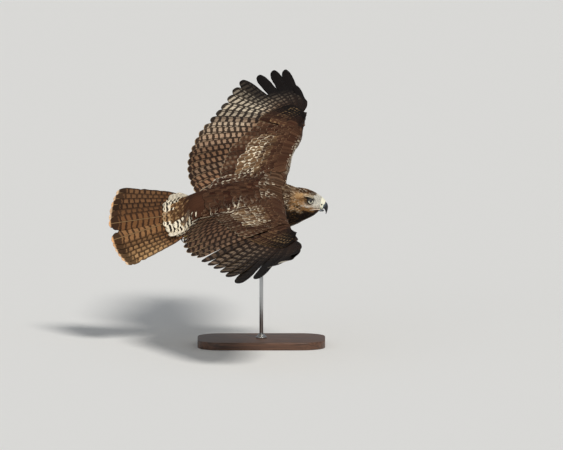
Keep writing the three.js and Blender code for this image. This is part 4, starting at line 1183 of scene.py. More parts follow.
def vane(plumes, surface, root, tip, shape, look, rng):
    """One feather on a curved surface, from root to tip, both outward and forward."""
    get = shape.get
    fine = get("fine", 1.0)
    blunt, finger, bow = get("blunt", 0.85), get("finger", 1), get("bow", 0)
    width, outer = shape["width"], get("outer", 0.42)
    run = np.array(tip, float) - np.array(root, float)
    long = np.hypot(*run)
    sideways = np.array([-run[1], run[0]]) / long
    body_steps, tip_steps = max(5, int(30 * fine)), max(4, int(11 * fine))
    swing = np.linspace(0, np.radians(86), tip_steps)
    t = np.concatenate([
        np.linspace(0, blunt, body_steps, endpoint=False), blunt + (1 - blunt) * np.sin(swing)])
    end = np.concatenate([np.ones(body_steps), np.cos(swing)])
    across = np.array([-1, -0.85, -0.6, -0.35, -0.13, -0.035, 0, 0.045, 0.17, 0.42, 0.7, 0.9, 1.0])
    if fine < 0.7:
        across = np.array([-1, -0.75, -0.38, -0.06, 0.06, 0.45, 0.8, 1.0])
    narrow = lerp(1, finger, smooth((t - 0.48) / 0.17))
    spread = width * lerp(0.34, 1, smooth(t / 0.38)) * narrow * np.maximum(0.05, end)
    share = np.where(across > 0, outer * across, (1 - outer) * across)
    offset = spread[:, None] * share[None, :]
    # Worn edges: each edge wavers a little and is split here and there between its barbs
    wear_and_shade = rng.normal(0, get("wear", 0.35), (len(t), 2)) * ramp(t, 0.2, 0.5)[:, None]
    offset[:, 0] += wear_and_shade[:, 0]
    offset[:, -1] += wear_and_shade[:, 1]
    for _ in range(get("splits", 0)):
        at, deep = rng.integers(int(len(t) * 0.45), len(t) - 3), rng.uniform(0.1, 0.28)
        inner_side = rng.random() < 0.7
        cut = slice(0, 3) if inner_side else slice(len(across) - 3, len(across))
        offset[at, cut] *= 1 - deep * np.array([1, 0.8, 0.4] if inner_side else [0.4, 0.8, 1])
    bend = bow * 4 * t * (1 - t)
    lift = get("lift", 0) * np.maximum(0, (t - 0.5) / 0.5) ** 2
    s = root[0] + run[0] * t[:, None] + sideways[0] * (offset + bend[:, None])
    c = root[1] + run[1] * t[:, None] + sideways[1] * (offset + bend[:, None])
    flip = -1 if get("under") else 1
    arched = smooth(t / 0.3) * (1 - 0.8 * ramp(t, 0.55, 1))
    arch = get("arch", 1.0) * (1 - across[None, :] ** 2) * arched[:, None]
    ridge = 0.45 * np.exp(-(across[None, :] / 0.05) ** 2) * (1 - 0.7 * t[:, None])
    level = np.full(s.shape, float(shape["height"]))
    if get("over") is not None:
        level = np.maximum(level, get("over")(s, c) + get("clear", 0.9) + get("tilt", 0) * t[:, None])
    level = level + get("rise", 0) * t[:, None]
    h = flip * (level + arch + ridge) + lift[:, None] + get("louvre", LOUVRE) * offset
    thick = lerp(0.55, 0.22, np.abs(across))[None, :] * np.ones_like(h) * 0.5
    thick[[0, -1], :] = 0
    thick[:, [0, -1]] = 0
    top, bottom = surface(s, c, h + thick), surface(s, c, h - thick)
    low, high = surface(np.full(2, s.mean()), np.full(2, c.mean()), np.array([0.0, 5.0]))
    grid_a = np.tile(across, (len(t), 1))
    grid_t = np.tile(t[:, None], (1, len(across)))
    web = np.stack([grid_a, grid_t, np.zeros_like(grid_a)], axis=-1)
    span = np.stack([offset, (1 - grid_t) * long, np.full_like(grid_a, rng.random())], axis=-1)
    plumes.add(top, bottom, web, span, high - low, look)


def row(plumes, surface, kind, tip_of, look_of, rng, extra=None):
    """A row of feathers from its first root to its last."""
    first, last = kind["roots"]
    for i in range(kind["count"]):
        t = i / (kind["count"] - 1)
        root = (lerp(first[0], last[0], t), lerp(first[1], last[1], t))
        shape = dict(kind, bow=lerp(*kind.get("bow", (0, 0)), t))
        if extra:
            shape.update(extra(i))
        jitter = kind.get("jitter", 0)
        tip = np.array(tip_of(t, i), float) + rng.normal(0, 1, 2) * jitter
        vane(plumes, surface, root, tip, shape, look_of(t, i), rng)


def arm_edge(s):
    """Trailing edge of the arm, where the secondaries end."""
    return -267 + (38 * ((s - 105) / 143) ** 2 if s > 105 else 22 * ((105 - s) / 105) ** 2)


def covert_edge(inner, drop, power):
    """Edge that a row of arm coverts ends on."""
    return lambda s: inner + drop * (max(0, s - 42) / 94) ** power


def palette(colours):
    return {name: np.array(getattr(colours, name))[:3] for name in colours.__annotations__}


def flight_looks(ink, rng, wear_and_shade):
    """Markings of the primaries and secondaries, the innermost primary first. Shaded ones are darker, with
    fainter panels: painted shade.
    """
    panel = np.array([0.3, 0.75, 1.0, 1.0, 0.85, 0.4, 0.25, 0.15, 0.1, 0.0]) * (1 - 0.8 * wear_and_shade)
    dusk = [0.1, 0.1, 0.2, 0.4, 0.7, 0.9, 1.0, 1.0, 1.0, 1.0]
    dark = lerp(np.array([0.1, 0.08, 0.08, 0.12, 0.25, 0.55, 0.75, 0.88, 0.96, 1.0]), 1, 0.35 * wear_and_shade)

    def primary(_, i):
        return {"tone": lerp(ink["vane"], ink["finger"], dark[i]), "mark": ink["buff"],
                "bars": 0.95, "fringe": 0.2 if i < 5 else 0, "panel": panel[i], "dusk": dusk[i]}

    def secondary(t, _):
        inner = ramp(t, 0.8, 1.0)
        shade = 0.6 * inner + 0.12 * rng.random() + 0.4 * wear_and_shade
        return {"tone": lerp(ink["vane"], ink["mantle"], shade),
                "mark": lerp(ink["buff"], ink["cream"], 0.2 + 0.8 * inner), "bars": 0.92,
                "fringe": 0.5 + 0.5 * inner,
                "panel": (1 - 0.8 * wear_and_shade) * (0.35 * (1 - ramp(t, 0.0, 0.35)) + 0.12 * rng.random())}

    return primary, secondary


def primary_tip(i, stretch):
    angle, reach = math.radians(FAN[i]), REACH[i] * stretch
    return (WRIST + reach * math.cos(angle), -reach * math.sin(angle))


def build_flight(name, colours):
    """Primaries and secondaries of one wing, in two meshes."""
    surface, pose, ink = SURFACES[name], WINGS[name], palette(colours)
    rng = np.random.default_rng(11 if name == "left" else 12)
    # The right wing lies turned from the key light, so its flight feathers get painted shade: darker, with
    # fainter panels
    primary_look, secondary_look = flight_looks(ink, rng, 0.0 if name == "left" else 1.0)
    hand, arm = Plumes(), Plumes()
    row(hand, surface, {"count": 10, "height": 0, "roots": [(215, -30), (298, -2)], "outer": 0.34,
                        "bow": (-5, 12), "arch": 1.4, "wear": 0.2},
        lambda _, i: primary_tip(i, pose["stretch"]), primary_look, rng,
        lambda i: {"finger": pose["finger"][i], "lift": pose["lift"][i],
                   "width": 30 if i == 9 else pose["width"]})
    row(arm, surface, {"count": 12, "height": 0, "roots": [(196, -42), (58, -92)], "width": 47, "outer": 0.42,
                       "bow": (-4, -6), "arch": 1.4, "wear": 0.3},
        on_edge(249, -46, arm_edge), secondary_look, rng)
    return hand.piece("primaries_" + name), arm.piece("secondaries_" + name)


def over_body(surface):
    """How far flesh of wing or trunk stands above a wing's surface."""

    def height(s, c):
        low = surface(s, c, np.zeros_like(s))
        rise = surface(s, c, np.ones_like(s)) - low
        half, top, _ = egg_sizes(low[..., 0], 0.0)
        scale = np.stack([np.zeros_like(half), 1 / half, 1 / top], axis=-1)
        a, b = low * scale, rise * scale
        aa, ab, bb = (a * a).sum(-1) - 1, (a * b).sum(-1), (b * b).sum(-1)
        root = ab * ab - aa * bb
        trunk = np.where(root > 0, (-ab + np.sqrt(np.maximum(root, 0))) / bb, 0)
        trunk = trunk * ramp(surface.side * low[..., 1], 74, 60)
        flesh = surface.flesh(s, c)[0]
        soft = 8 * np.log1p(np.exp(-np.abs(flesh - trunk) / 8)) * ramp(np.minimum(flesh, trunk), 0, 6)
        return np.maximum(flesh, trunk) + soft

    return height


def toward(first, last, power=1):
    """Tips of a row, from the first to the last: out at an even pace, and forward by a power of it."""
    return lambda t, _: (lerp(first[0], last[0], t), first[1] + (last[1] - first[1]) * t ** power)


def on_edge(first, last, edge):
    """Tips of a row that ends on an edge, from the first place along it to the last."""
    return lambda t, _: (lerp(first, last, t), edge(lerp(first, last, t)))


def build_coverts(name, colours):
    """Covert rows of one wing and its scapulars above, and the rows below."""
    surface, ink = SURFACES[name], palette(colours)
    rng = np.random.default_rng(21 if name == "left" else 22)
    upper, lower = Plumes(), Plumes()
    body = over_body(surface)

    def shade(low, high):
        return lerp(ink["mantle"], ink["vane"], rng.uniform(low, high))

    def small(tone, mark, fringe, **more):
        """Look of a feather whose underside never shows."""
        return dict(more, tone=tone, mark=mark, fringe=fringe, no_under=True)

    def cover(plumes, rows, **shared):
        """Lays rows of feathers: number, height, roots, width, tips, look and, on some, how they bow."""
        for count, height, roots, width, tip_of, look_of, *bow in rows:
            kind = dict(shared, count=count, height=height, roots=roots, width=width)
            if bow:
                kind["bow"] = bow[0]
            row(plumes, surface, kind, tip_of, look_of, rng)

    def behind(first, last):
        """Roots of a row of the arm, so far behind its leading edge at the wrist and at the elbow."""
        return [(s, surface.front(s) - back) for s, back in ((188, first), (56, last))]

    def plain(fringe, spots=0.0):
        return lambda *_: small(
            shade(-0.05, 0.22), lerp(ink["edging"], ink["buff"], 0.5 * rng.random() ** 2),
            fringe * rng.uniform(0.4, 1.3), spots=spots * rng.random(), streak=0.18)

    def looped(strength, first, last):
        """Cream loops, strongest over the inner part of the arm and not on every feather."""
        def look_of(t, _):
            strong = ramp(t, first, first + 0.15) * ramp(t, last + 0.1, last) * strength
            pick = rng.random()
            tan = 0.35 * strong * rng.random()
            return small(
                lerp(shade(-0.1, 0.2), ink["buff"], tan),
                lerp(ink["buff"], ink["cream"], min(1, rng.uniform(0.1, 0.7) + 0.5 * strong)),
                0.25 + rng.uniform(0.2, 0.6) * strong * (pick > 0.2),
                spots=strong * (pick > 0.5) * 0.9, streak=0.3)
        return look_of

    def greater(*_):
        return small(shade(0, 0.3), lerp(ink["buff"], ink["cream"], 0.35 + 0.3 * rng.random()), 0.42,
                     bars=0.35, spots=0.12)

    cover(upper, (
        (12, 2.9, behind(31, 63), 34, on_edge(222, 14, covert_edge(-187, 27, 1.66)), greater),
        (15, 4.8, behind(26, 50), 24, on_edge(209, 15, covert_edge(-150, 26, 1.5)), looped(0.8, 0.15, 0.98)),
        (17, 5.5, behind(24, 46), 20, on_edge(207, 16, covert_edge(-135, 26, 1.5)), looped(1.0, 0.12, 0.98)),
        (18, 6.1, behind(22, 42), 19, on_edge(206, 17, covert_edge(-120, 25, 1.4)), looped(1.0, 0.12, 0.96)),
        (18, 6.7, behind(20, 37), 18, on_edge(204, 18, covert_edge(-106, 24, 1.4)), looped(0.9, 0.14, 0.9)),
        (19, 7.2, behind(17, 31), 17, on_edge(203, 20, covert_edge(-92, 22, 1.3)), looped(0.55, 0.1, 0.8)),
        (20, 7.6, behind(14, 24), 17, on_edge(201, 22, covert_edge(-78, 20, 1.2)), plain(0.35, 0.5)),
        (22, 8.0, behind(10, 16), 16, on_edge(200, 22, covert_edge(-65, 19, 1.2)), plain(0.3, 0.3)),
        (24, 8.3, behind(6, 9), 15, on_edge(199, 22, covert_edge(-52, 18, 1.2)), plain(0.3)),
    ), over=body, bow=(-2, -2), jitter=2.0, clear=-1.4, tilt=3.8, fine=0.6, outer=0.46)

    def hand(fringe, **more):
        return lambda t, _: small(lerp(shade(-0.1, 0.2), ink["finger"], ramp(t, 0.0, 0.8)), ink["buff"],
                                  fringe * (1 - 0.7 * t), **more)

    def thumb(*_):
        return small(lerp(ink["finger"], ink["mantle"], 0.2), ink["edging"], 0.2)

    cover(upper, (
        (10, 2.9, [(222, -12), (294, 1)], 23, toward((256, -97), (361, -32), 1.35), hand(0.5, bars=0.3),
         (-3, 5)),
        (10, 4.6, [(214, -14), (288, 4)], 19, toward((240, -72), (336, -20), 1.3), hand(0.35, spots=0.3)),
        (10, 6.0, [(208, -14), (276, 7)], 17, toward((226, -52), (312, -8), 1.2), hand(0.25, spots=0.15)),
        (10, 7.2, [(202, -10), (266, 9)], 15, toward((216, -36), (294, 0), 1.2), hand(0.15)),
        (4, 6.6, [(208, -20), (216, -9)], 14, toward((246, -33), (284, 1)), thumb, (1, 3)),
    ), over=lambda s, c: surface.flesh(s, c)[0], jitter=0.8, clear=-1.0, tilt=3.0, fine=0.6, outer=0.42)

    def scapular(cream):
        """Cream flecks in a band along the wing's root, and thin tan edges on the rest of the back."""
        middle, spread = (0.06, 0.34) if name == "left" else (0.1, 0.24)

        def look_of(t, _):
            strong = min(1, cream * rng.uniform(0.3, 1.4) * math.exp(-((t - middle) / spread) ** 2))
            wear_and_shade = lerp(ink["mantle"], ink["edging"], rng.uniform(0.3, 1.0))
            return small(shade(-0.15, 0.3), lerp(wear_and_shade, ink["cream"], min(1, 2 * strong)), 0.3 + 0.3 * strong,
                         spots=0.9 * strong, streak=0.35)
        return look_of

    def nape(*_):
        """The foremost feathers of the back, flecked like the hind neck that they join."""
        pale = rng.random()
        return small(lerp(ink["crown"], ink["edging"], 0.6 * rng.random() ** 2),
                     lerp(ink["edging"], ink["cream"], pale), 0.35 * pale,
                     spots=0.5 * (pale > 0.7), streak=0.3)

    cover(upper, (
        (11, 3.4, [(36, -112), (-26, -122)], 20, toward((24, -200), (-28, -218)), scapular(0.6)),
        (12, 4.0, [(36, -102), (-28, -110)], 18, toward((26, -186), (-30, -205)), scapular(0.9)),
        (12, 4.6, [(36, -90), (-30, -98)], 18, toward((27, -171), (-31, -190)), scapular(1.0)),
        (13, 5.2, [(36, -80), (-31, -86)], 17, toward((28, -157), (-32, -175)), scapular(1.0)),
        (13, 5.8, [(36, -70), (-32, -76)], 17, toward((29, -142), (-33, -160)), scapular(1.0)),
        (13, 6.3, [(36, -60), (-33, -66)], 16, toward((30, -127), (-34, -146)), scapular(0.9)),
        (13, 6.8, [(36, -50), (-34, -56)], 16, toward((31, -112), (-35, -132)), scapular(0.7)),
        (13, 7.2, [(36, -42), (-34, -46)], 16, toward((32, -98), (-35, -118)), scapular(0.5)),
        (15, 7.5, [(36, -38), (-34, -42)], 14, toward((34, -84), (-35, -104)), scapular(0.35)),
        (17, 7.8, [(38, -34), (-34, -38)], 12, toward((34, -72), (-35, -89)), nape),
        (21, 7.8, [(38, -28), (-34, -30)], 10, toward((35, -60), (-36, -74)), nape),
    ), over=body, bow=(-2, 2), jitter=3.0, clear=-4.4, tilt=6.6, fine=0.4, outer=0.46, louvre=0.03, arch=1.3)

    def pale(strength):
        return lambda *_: small(lerp(ink["belly"], ink["buff"], 0.12), ink["cream"], 0.1,
                                bars=0.6 * strength, streak=0.25)

    cover(lower, (
        (13, 2.6, [(197, -30), (60, -84)], 32, on_edge(220, 8, covert_edge(-160, 24, 1.6)), pale(0.45)),
        (14, 4.0, [(190, -22), (66, -58)], 26, on_edge(206, 16, covert_edge(-118, 24, 1.5)), pale(0.3)),
        (10, 2.6, [(220, -14), (292, -2)], 24, toward((252, -86), (352, -30), 1.35), pale(0.3)),
    ), over=lambda s, c: surface.flesh(s, c)[1], under=True, clear=0.5, fine=0.5, outer=0.45, louvre=0.02)
    return upper.piece("coverts_" + name), lower.piece("undercoverts_" + name)


def build_tail(colours):
    """Twelve tail feathers, fanned, the middle pair on top."""
    ink = palette(colours)
    rng = np.random.default_rng(31)
    plumes = Plumes()
    for name, side in (("left", 1), ("right", -1)):
        def surface(across, forward, height, side=side):
            across, forward, height = np.broadcast_arrays(across, forward, height)
            return on_tail(np.stack([forward, side * across, height], axis=-1))

        for i in range(TAIL["pairs"]):
            part = (i + 0.45) / (TAIL["pairs"] - 0.55)
            angle = math.radians(TAIL["spread"][name] * part + TAIL["parting"][name])
            root = (3 + TAIL["root_step"][name] * i, -6)
            reach = TAIL["length"] - TAIL["shorter"] * part ** 2
            tip = (root[0] + reach * math.sin(angle), root[1] - reach * math.cos(angle))
            shape = {"width": TAIL["width"], "outer": lerp(0.5, 0.36, part), "blunt": 0.84, "louvre": 0.045,
                     "height": -TAIL["step"] * (i + (0.85 if side < 0 else 0)), "arch": 0.8, "splits": 3}
            tone = lerp(ink["tail"], ink["vane"], 0.2 * part) * rng.uniform(0.85, 1.1)
            look = {"tone": tone * (0.82 if side > 0 else 1),
                    "mark": lerp(ink["rufous"], ink["cream"], rng.uniform(0.1, 0.5)),
                    "bars": rng.uniform(0.72, 0.92), "fringe": rng.uniform(1.5, 2.3),
                    "panel": (0.85 if side < 0 else 0.1) * max(part, 0.25)}
            vane(plumes, surface, root, tip, shape, look, rng)
    return plumes.piece("tail_feathers")


def rump_surface(under):
    """Upper or lower face of the tail's root, carried on along the tail: across, back and height."""
    start, finish = np.array([TORSO_X[0], 0, 0]), on_tail([-TAIL["root"], 0, 0])
    first = (TORSO_HALF[0], TORSO_BOTTOM[0] if under else TORSO_TOP[0])
    flip = -1 if under else 1

    def surface(across, forward, height):
        across, forward, height = np.broadcast_arrays(across, forward, height)
        shape = across.shape
        flat = [np.ravel(v) for v in (across, forward, height)]
        made = np.empty((flat[0].size, 3))
        for k, (a, f, h) in enumerate(zip(*flat)):
            t = float(np.clip(-f / TAIL["root"], -0.4, 1))
            turn = between(TAIL_TURN, float(smooth(min(1, max(0, t) * 1.6))))
            share = smooth(t)
            half, high = lerp(first[0], TAIL["root_half"] + 2, share), lerp(first[1], 5, share)
            u = np.clip(a / half, -1.15, 1.15)
            rise = high * math.sqrt(max(0.0, 1 - min(1, abs(u)) ** 2)) - max(0, abs(a) - half) * 0.6
            centre = lerp(start, finish, t)
            if -f > TAIL["root"]:
                centre = centre + TAIL_TURN @ np.array([f + TAIL["root"], 0, 0])
            made[k] = centre + turn @ np.array([0, a, flip * (rise + h)])
        return made.reshape(shape + (3,))

    return surface


def build_rump(colours):
    """Uppertail coverts, white with dark bars, and the pale undertail coverts."""
    ink = palette(colours)
    rng = np.random.default_rng(41)
    upper, lower = Plumes(), Plumes()
    for plumes, under in ((upper, False), (lower, True)):
        surface = rump_surface(under)
        rows = ((8, -8, -86, 22, 3.0), (8, 4, -68, 22, 4.4), (9, 16, -50, 20, 5.6), (9, 30, -30, 19, 6.6))
        for level, (count, from_x, to_x, width, height) in enumerate(rows):
            for i in range(count):
                part = 2 * i / (count - 1) - 1
                root = (part * 32, from_x)
                tip = (part * lerp(47, 40, level / 3) + rng.normal(0, 1.5),
                       to_x + 16 * part ** 2 + rng.normal(0, 2.5))
                shape = {"width": width, "outer": 0.5, "height": 0.4 + 0.35 * height + 0.5 * (i % 2),
                         "rise": 1.4, "fine": 0.6, "louvre": 0.0, "arch": 1.2, "blunt": 0.8}
                if under:
                    look = {"tone": ink["belly"], "mark": ink["cream"], "bars": 0.25, "fringe": 0.2,
                            "no_under": True}
                else:
                    low, high = ((0.0, 0.5), (0.35, 0.7), (0.8, 1.1), (1.3, 1.5))[level]
                    middle = 1 - ramp(abs(part + rng.normal(0, 0.06)), low, high)
                    brown = lerp(ink["cheek"], ink["mantle"], (0.25, 0.7, 0.9, 1.0)[level])
                    look = {"tone": lerp(ink["cream"], brown, middle),
                            "mark": lerp(ink["cream"], ink["buff"], middle),
                            "bars": lerp(1.0, (0.85, 0.45, 0.15, 0.0)[level], middle),
                            "fringe": lerp(0.9, (0.7, 0.5, 0.35, 0.2)[level], middle),
                            "spots": 0.5 * middle * (level < 3), "no_under": True}
                vane(plumes, surface, root, tip, shape, look, rng)
    return upper.piece("uppertail_coverts"), lower.piece("undertail_coverts")


# Head, legs and stand


def swept(name, rings):
    """A lofted mesh with a value for how far along and how far round each point is."""
    points, faces = loft(rings)
    mesh = mesh_of(name, to_world(points), outward(points, faces))
    count, rows = len(rings[0]), len(rings)
    run = np.repeat(np.linspace(0, 1, rows), count)
    turn = np.tile(np.arange(count) / count, rows)
    along_round = np.concatenate([np.c_[run, turn], [[0, 0.5], [1, 0.5]]])
    store(mesh, "sweep", "FLOAT_VECTOR", "POINT", np.c_[along_round, np.zeros(len(points))])
    return mesh


def joined(name, meshes):
    """Several meshes as one object."""
    parts = [linked(name, mesh) for mesh in meshes]
    with bpy.context.temp_override(active_object=parts[0], selected_editable_objects=parts):
        bpy.ops.object.join()
    parts[0].name = name
    return parts[0]


def gaze_axes(side):
    """The way that an eye looks, and the ways across and up from there."""
    ahead = EYE["ahead"]
    gaze = unit(np.array([math.sin(ahead), side * math.cos(ahead), EYE["raised"]]))
    across = unit(np.cross([0, 0, 1], gaze))
    return gaze, across, np.cross(gaze, across)


def build_eye(side):
    """Eyeball, which carries how far each point is from the middle of its gaze."""
    turns, rises = 48, 32
    gaze, across, up = gaze_axes(side)
    radius = EYE["radius"] - 0.05
    angles = np.linspace(0.03, np.pi - 0.03, rises)
    rings = [on_head(egg(eye_at(side) + gaze * radius * math.cos(angle), across, up,
                         *[radius * math.sin(angle)] * 3, turns)) for angle in angles]
    mesh = swept("eye", rings)
    off = np.concatenate([np.repeat(radius * np.sin(angles), turns), [0, 0]])
    front = np.concatenate([np.repeat(np.linspace(0, 1, rises) < 0.5, turns), [True, False]])
    store(mesh, "off_axis", "FLOAT", "POINT", np.where(front, off, 20))
    return mesh


def build_lid(side):
    """The bare rim round the eye, flatter above, and the ring of skin that it stands on."""
    gaze, across, up = gaze_axes(side)
    # Radius round the gaze and distance along it, at the sides and below, and then at the hooded top
    profile = [(4.6, 5.6, 1.9, 8.2), (5.4, 6.35, 2.3, 8.8), (5.8, 6.7, 3.0, 9.2), (6.2, 6.75, 3.8, 9.2),
               (6.6, 6.3, 5.0, 8.6), (7.3, 5.2, 6.4, 7.0), (8.4, 3.8, 8.0, 5.0), (9.6, 1.8, 9.8, 2.0),
               (9.0, 0.5, 9.0, 0.5), (6.0, 2.0, 6.0, 2.0), (4.6, 4.4, 3.0, 6.5)]
    steps = 56
    angle = 2 * np.pi * np.arange(steps) / steps
    hood = smooth(np.sin(angle + side * 0.25) * 1.15)
    ripple = 1 + 0.012 * np.sin(angle * 11) + 0.008 * np.sin(angle * 23 + 1)
    rings = []
    for k, (radius, ahead, top_radius, top_ahead) in enumerate(profile):
        around = lerp(radius, top_radius, hood) * (ripple if k < 7 else 1)
        centre = eye_at(side) + np.outer(lerp(ahead, top_ahead, hood), gaze)
        rings.append(on_head(
            centre + np.outer(np.cos(angle) * around, across) + np.outer(np.sin(angle) * around, up)))
    points, faces = loft(rings, round_trip=True)
    mesh = mesh_of("lid", to_world(points), outward(points, faces))
    rows = len(rings)
    store(mesh, "sweep", "FLOAT_VECTOR", "POINT", np.stack([
        np.repeat(np.arange(rows) / rows, steps), np.tile(angle / (2 * np.pi), rows),
        np.zeros(rows * steps)], axis=-1))
    return mesh


def build_cere():
    """The soft saddle over the root of the bill, dented by the nostrils; the dents carry a mask for painted
    shade in the nostrils.
    """
    start, around, inset = HEAD_X[-1] + GAP, 120, CERE["inset"]
    front, half, top, middle = start + CERE["length"], CERE["half"][1], CERE["top"][1], CERE["middle"][1]
    across, up = (0, 1, 0), (0, 0, 1)
    rings = []
    for t in np.linspace(0, 1, 44):
        swell = 0.35 * math.sin(math.pi * t)
        rings.append(egg((lerp(start, front, t), 0, lerp(*CERE["middle"], t)), across, up,
                         lerp(*CERE["half"], t) - inset + swell, lerp(*CERE["top"], t) - inset + swell,
                         CERE["middle"][0] - BILL["gape"] - 0.1, around))
    # Its soft front edge overlaps the root of the horn
    over = smooth((np.sin(2 * np.pi * np.arange(around) / around) + 0.1) / 0.8)
    for ahead, narrow in ((1.2, 0.1), (1.9, 0.7), (2.2, 2.4)):
        ring = egg((front, 0, middle), across, up, half - inset - narrow * 0.4,
                   top - 0.7 - narrow, middle - BILL["gape"] - 0.1 - narrow, around)
        ring[:, 0] += ahead * over
        rings.append(ring)
    points = np.concatenate(rings)
    along_by, side_by, up_by = CERE["nostril"]
    hollow = np.zeros(len(points))
    for side in (1, -1):
        away = (points - np.array([start + along_by, side * side_by, up_by])) / CERE["nostril_size"]
        distance = np.hypot(away[:, 0], away[:, 2]) + np.abs(away[:, 1])
        hollow = np.maximum(hollow, ramp(distance, 1.15, 0.6))
    points[:, 1] -= np.sign(points[:, 1]) * CERE["nostril_depth"] * hollow
    mesh = swept("cere_form", [on_head(ring) for ring in np.split(points, len(rings))])
    store(mesh, "hollow", "FLOAT", "POINT", np.concatenate([hollow, [0, 0]]))
    return linked("cere_form", mesh)


def build_bill():
    """Upper bill with its hook, and the lower bill."""
    start = HEAD_X[-1] + CERE["length"] + 2 * GAP
    (tip_x, tip_z), middle = BILL["tip"], CERE["middle"][1]
    p = [np.array(v, float) for v in (
        (start, 0, middle), (start + 3.9, 0, middle + 1), (tip_x - 1.5, 0, 2), (tip_x, 0, tip_z))]
    rings = []
    for t in np.linspace(0, 1, 56):
        left = 1 - t
        here = left ** 3 * p[0] + 3 * left ** 2 * t * p[1] + 3 * left * t ** 2 * p[2] + t ** 3 * p[3]
        way = 3 * left ** 2 * (p[1] - p[0]) + 6 * left * t * (p[2] - p[1]) + 3 * t ** 2 * (p[3] - p[2])
        way = unit(way) if t > 0 else np.array([1.0, 0, 0])
        half, high = 0.5 + (BILL["half"] - 0.5) * left ** 0.75, 0.4 + (BILL["top"] - 0.4) * left ** 1.1
        low = 0.4 + (middle - 0.4 - BILL["gape"]) * left ** 1.1
        rings.append(on_head(egg(here, (0, 1, 0), (-way[2], 0, way[0]), half, high, low, 48)))
    upper = linked("bill_upper_form", swept("bill_upper_form", rings))
    rings = []
    back, front = HEAD_X[-1] + GAP, tip_x - 7
    for t in np.linspace(0, 1, 36):
        left = math.sqrt(1 - t * t * 0.985)
        rings.append(on_head(egg(
            (lerp(back, front, t), 0, BILL["gape"] - 1.2 - 0.4 * left), (0, 1, 0), (0, 0, 1),
            0.6 + (BILL["half"] - 0.4) * left, 0.8, 0.6 + (BILL["lower_depth"] - 0.6) * left, 40)))
    return upper, linked("bill_lower_form", swept("bill_lower_form", rings))


def build_gape(side):
    """The soft yellowish corner of the mouth, back from the bill."""
    return swept("gape", tube_rings(on_head(sided(MOUTH, side)), [0.25, 0.8, 1.1, 1.3], 16, 20))


def leg_tube(points, radii, sides, steps, joints=0):
    """A scaled tube, slightly swollen between its joints."""
    rings = tube_rings(points, radii, sides, steps)
    if joints:
        for k, ring in enumerate(rings):
            swell = 1 + 0.09 * math.cos(2 * math.pi * joints * k / (len(rings) - 1))
            middle = ring.mean(axis=0)
            rings[k] = middle + (ring - middle) * swell
    return swept("leg", rings)


def build_leg(side):
    """Shank, then foot with its toes, then claws."""
    heel, ankle = sided([HEEL, ANKLE], side)
    line = [lerp(heel, ankle, -0.08), lerp(heel, ankle, 0.5), ankle]
    shank = linked("shank_form", leg_tube(line, [5.1, 4.3, 4.9], 40, 60))
    pad = []
    for angle in np.linspace(0.05, np.pi - 0.05, 20):
        centre = ankle + np.array([-8.2 - 7.3 * math.cos(angle), 0, -1])
        wide, high = 6.3 * math.sin(angle), 5.3 * math.sin(angle)
        pad.append(egg(centre, (0, 1, 0), (0, 0, 1), wide, high, high, 32))
    toes, claws = [swept("pad", pad)], []
    for path, width in TOES.values():
        points = ankle + sided(path, side)
        toes.append(leg_tube(points, [4.3, width, width * 0.9, 2.6], 28, 44, joints=3))
        ahead = unit(points[3] - points[2])
        curl = unit(np.array([1.0, 0, 0]) - ahead * ahead[0])
        root = points[3] + ahead * GAP
        line = [root, root + ahead * CLAW["middle"] + curl,
                root + ahead * CLAW["length"] + curl * CLAW["curl"]]
        claws.append(swept("claw", tube_rings(line, CLAW["radii"], 24, 30)))
    return shank, joined("foot_form", toes), joined("claws_form", claws)


def build_base():
    """Rounded plate with an eased edge."""
    arc, edge_steps = 24, 6
    corner, bevel = BASE["corner"], BASE["bevel"]
    x, y = BASE["length"] / 2 - corner, BASE["width"] / 2 - corner
    outline = []
    for k, (cx, cy) in enumerate(((x, y), (-x, y), (-x, -y), (x, -y))):
        for angle in np.linspace(0, np.pi / 2, arc) + k * np.pi / 2:
            outline.append((cx, cy, math.cos(angle), math.sin(angle)))
    outline = np.array(outline)
    rings = []
    sweep_by = np.linspace(0, np.pi / 2, edge_steps)
    levels = [(bevel * (1 - math.sin(a)), bevel * (1 - math.cos(a))) for a in sweep_by]
    levels += [(bevel * (1 - math.cos(a)), BASE["thickness"] - bevel * (1 - math.sin(a))) for a in sweep_by]
    for inset, height in levels:
        radius = corner - inset
        rings.append(np.c_[outline[:, 0] + radius * outline[:, 2], outline[:, 1] + radius * outline[:, 3],
                           np.full(len(outline), height)])
    points, faces = loft(rings)
    return linked("base_form", mesh_of("base_form", points * MM, outward(points, faces)))


def turned_form(name, profile, low, bored):
    """A piece turned on the stand's axis from a profile of radius and height, with a bore or without."""
    sides = 96
    angle = 2 * np.pi * np.arange(sides) / sides
    points, faces = loft([
        np.c_[np.cos(angle) * r, np.sin(angle) * r, np.full(sides, z + low)] for r, z in profile], bored)
    return linked(name, mesh_of(name, points * MM, outward(points, faces)))


def build_metal():
    """Collar with a soft rim, and the rod up into the breast."""
    low, hole = BASE["thickness"] + GAP, ROD["radius"] + GAP
    wide, high = ROD["collar_radius"], ROD["collar_height"]
    profile = [(hole, 0), (wide - EASED, 0), (wide, EASED), (wide, 2.5), (wide - 0.15, 2.9),
               (wide - 0.5, 3.2)]
    profile += [(lerp(wide - 0.5, hole + 2.5, t), lerp(3.2, high, t) - 0.7 * math.sin(math.pi * t))
                for t in np.linspace(0.12, 0.94, 8)]
    profile += [(hole + 2.3, high), (hole, high)]
    collar = turned_form("collar_form", profile, low, True)
    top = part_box("stand_rod")[1][2] / MM
    r = ROD["radius"]
    rod = turned_form("rod_form", [
        (r - EASED, low), (r, low + EASED), (r, top - EASED), (r - EASED, top)], 0, False)
    return collar, rod


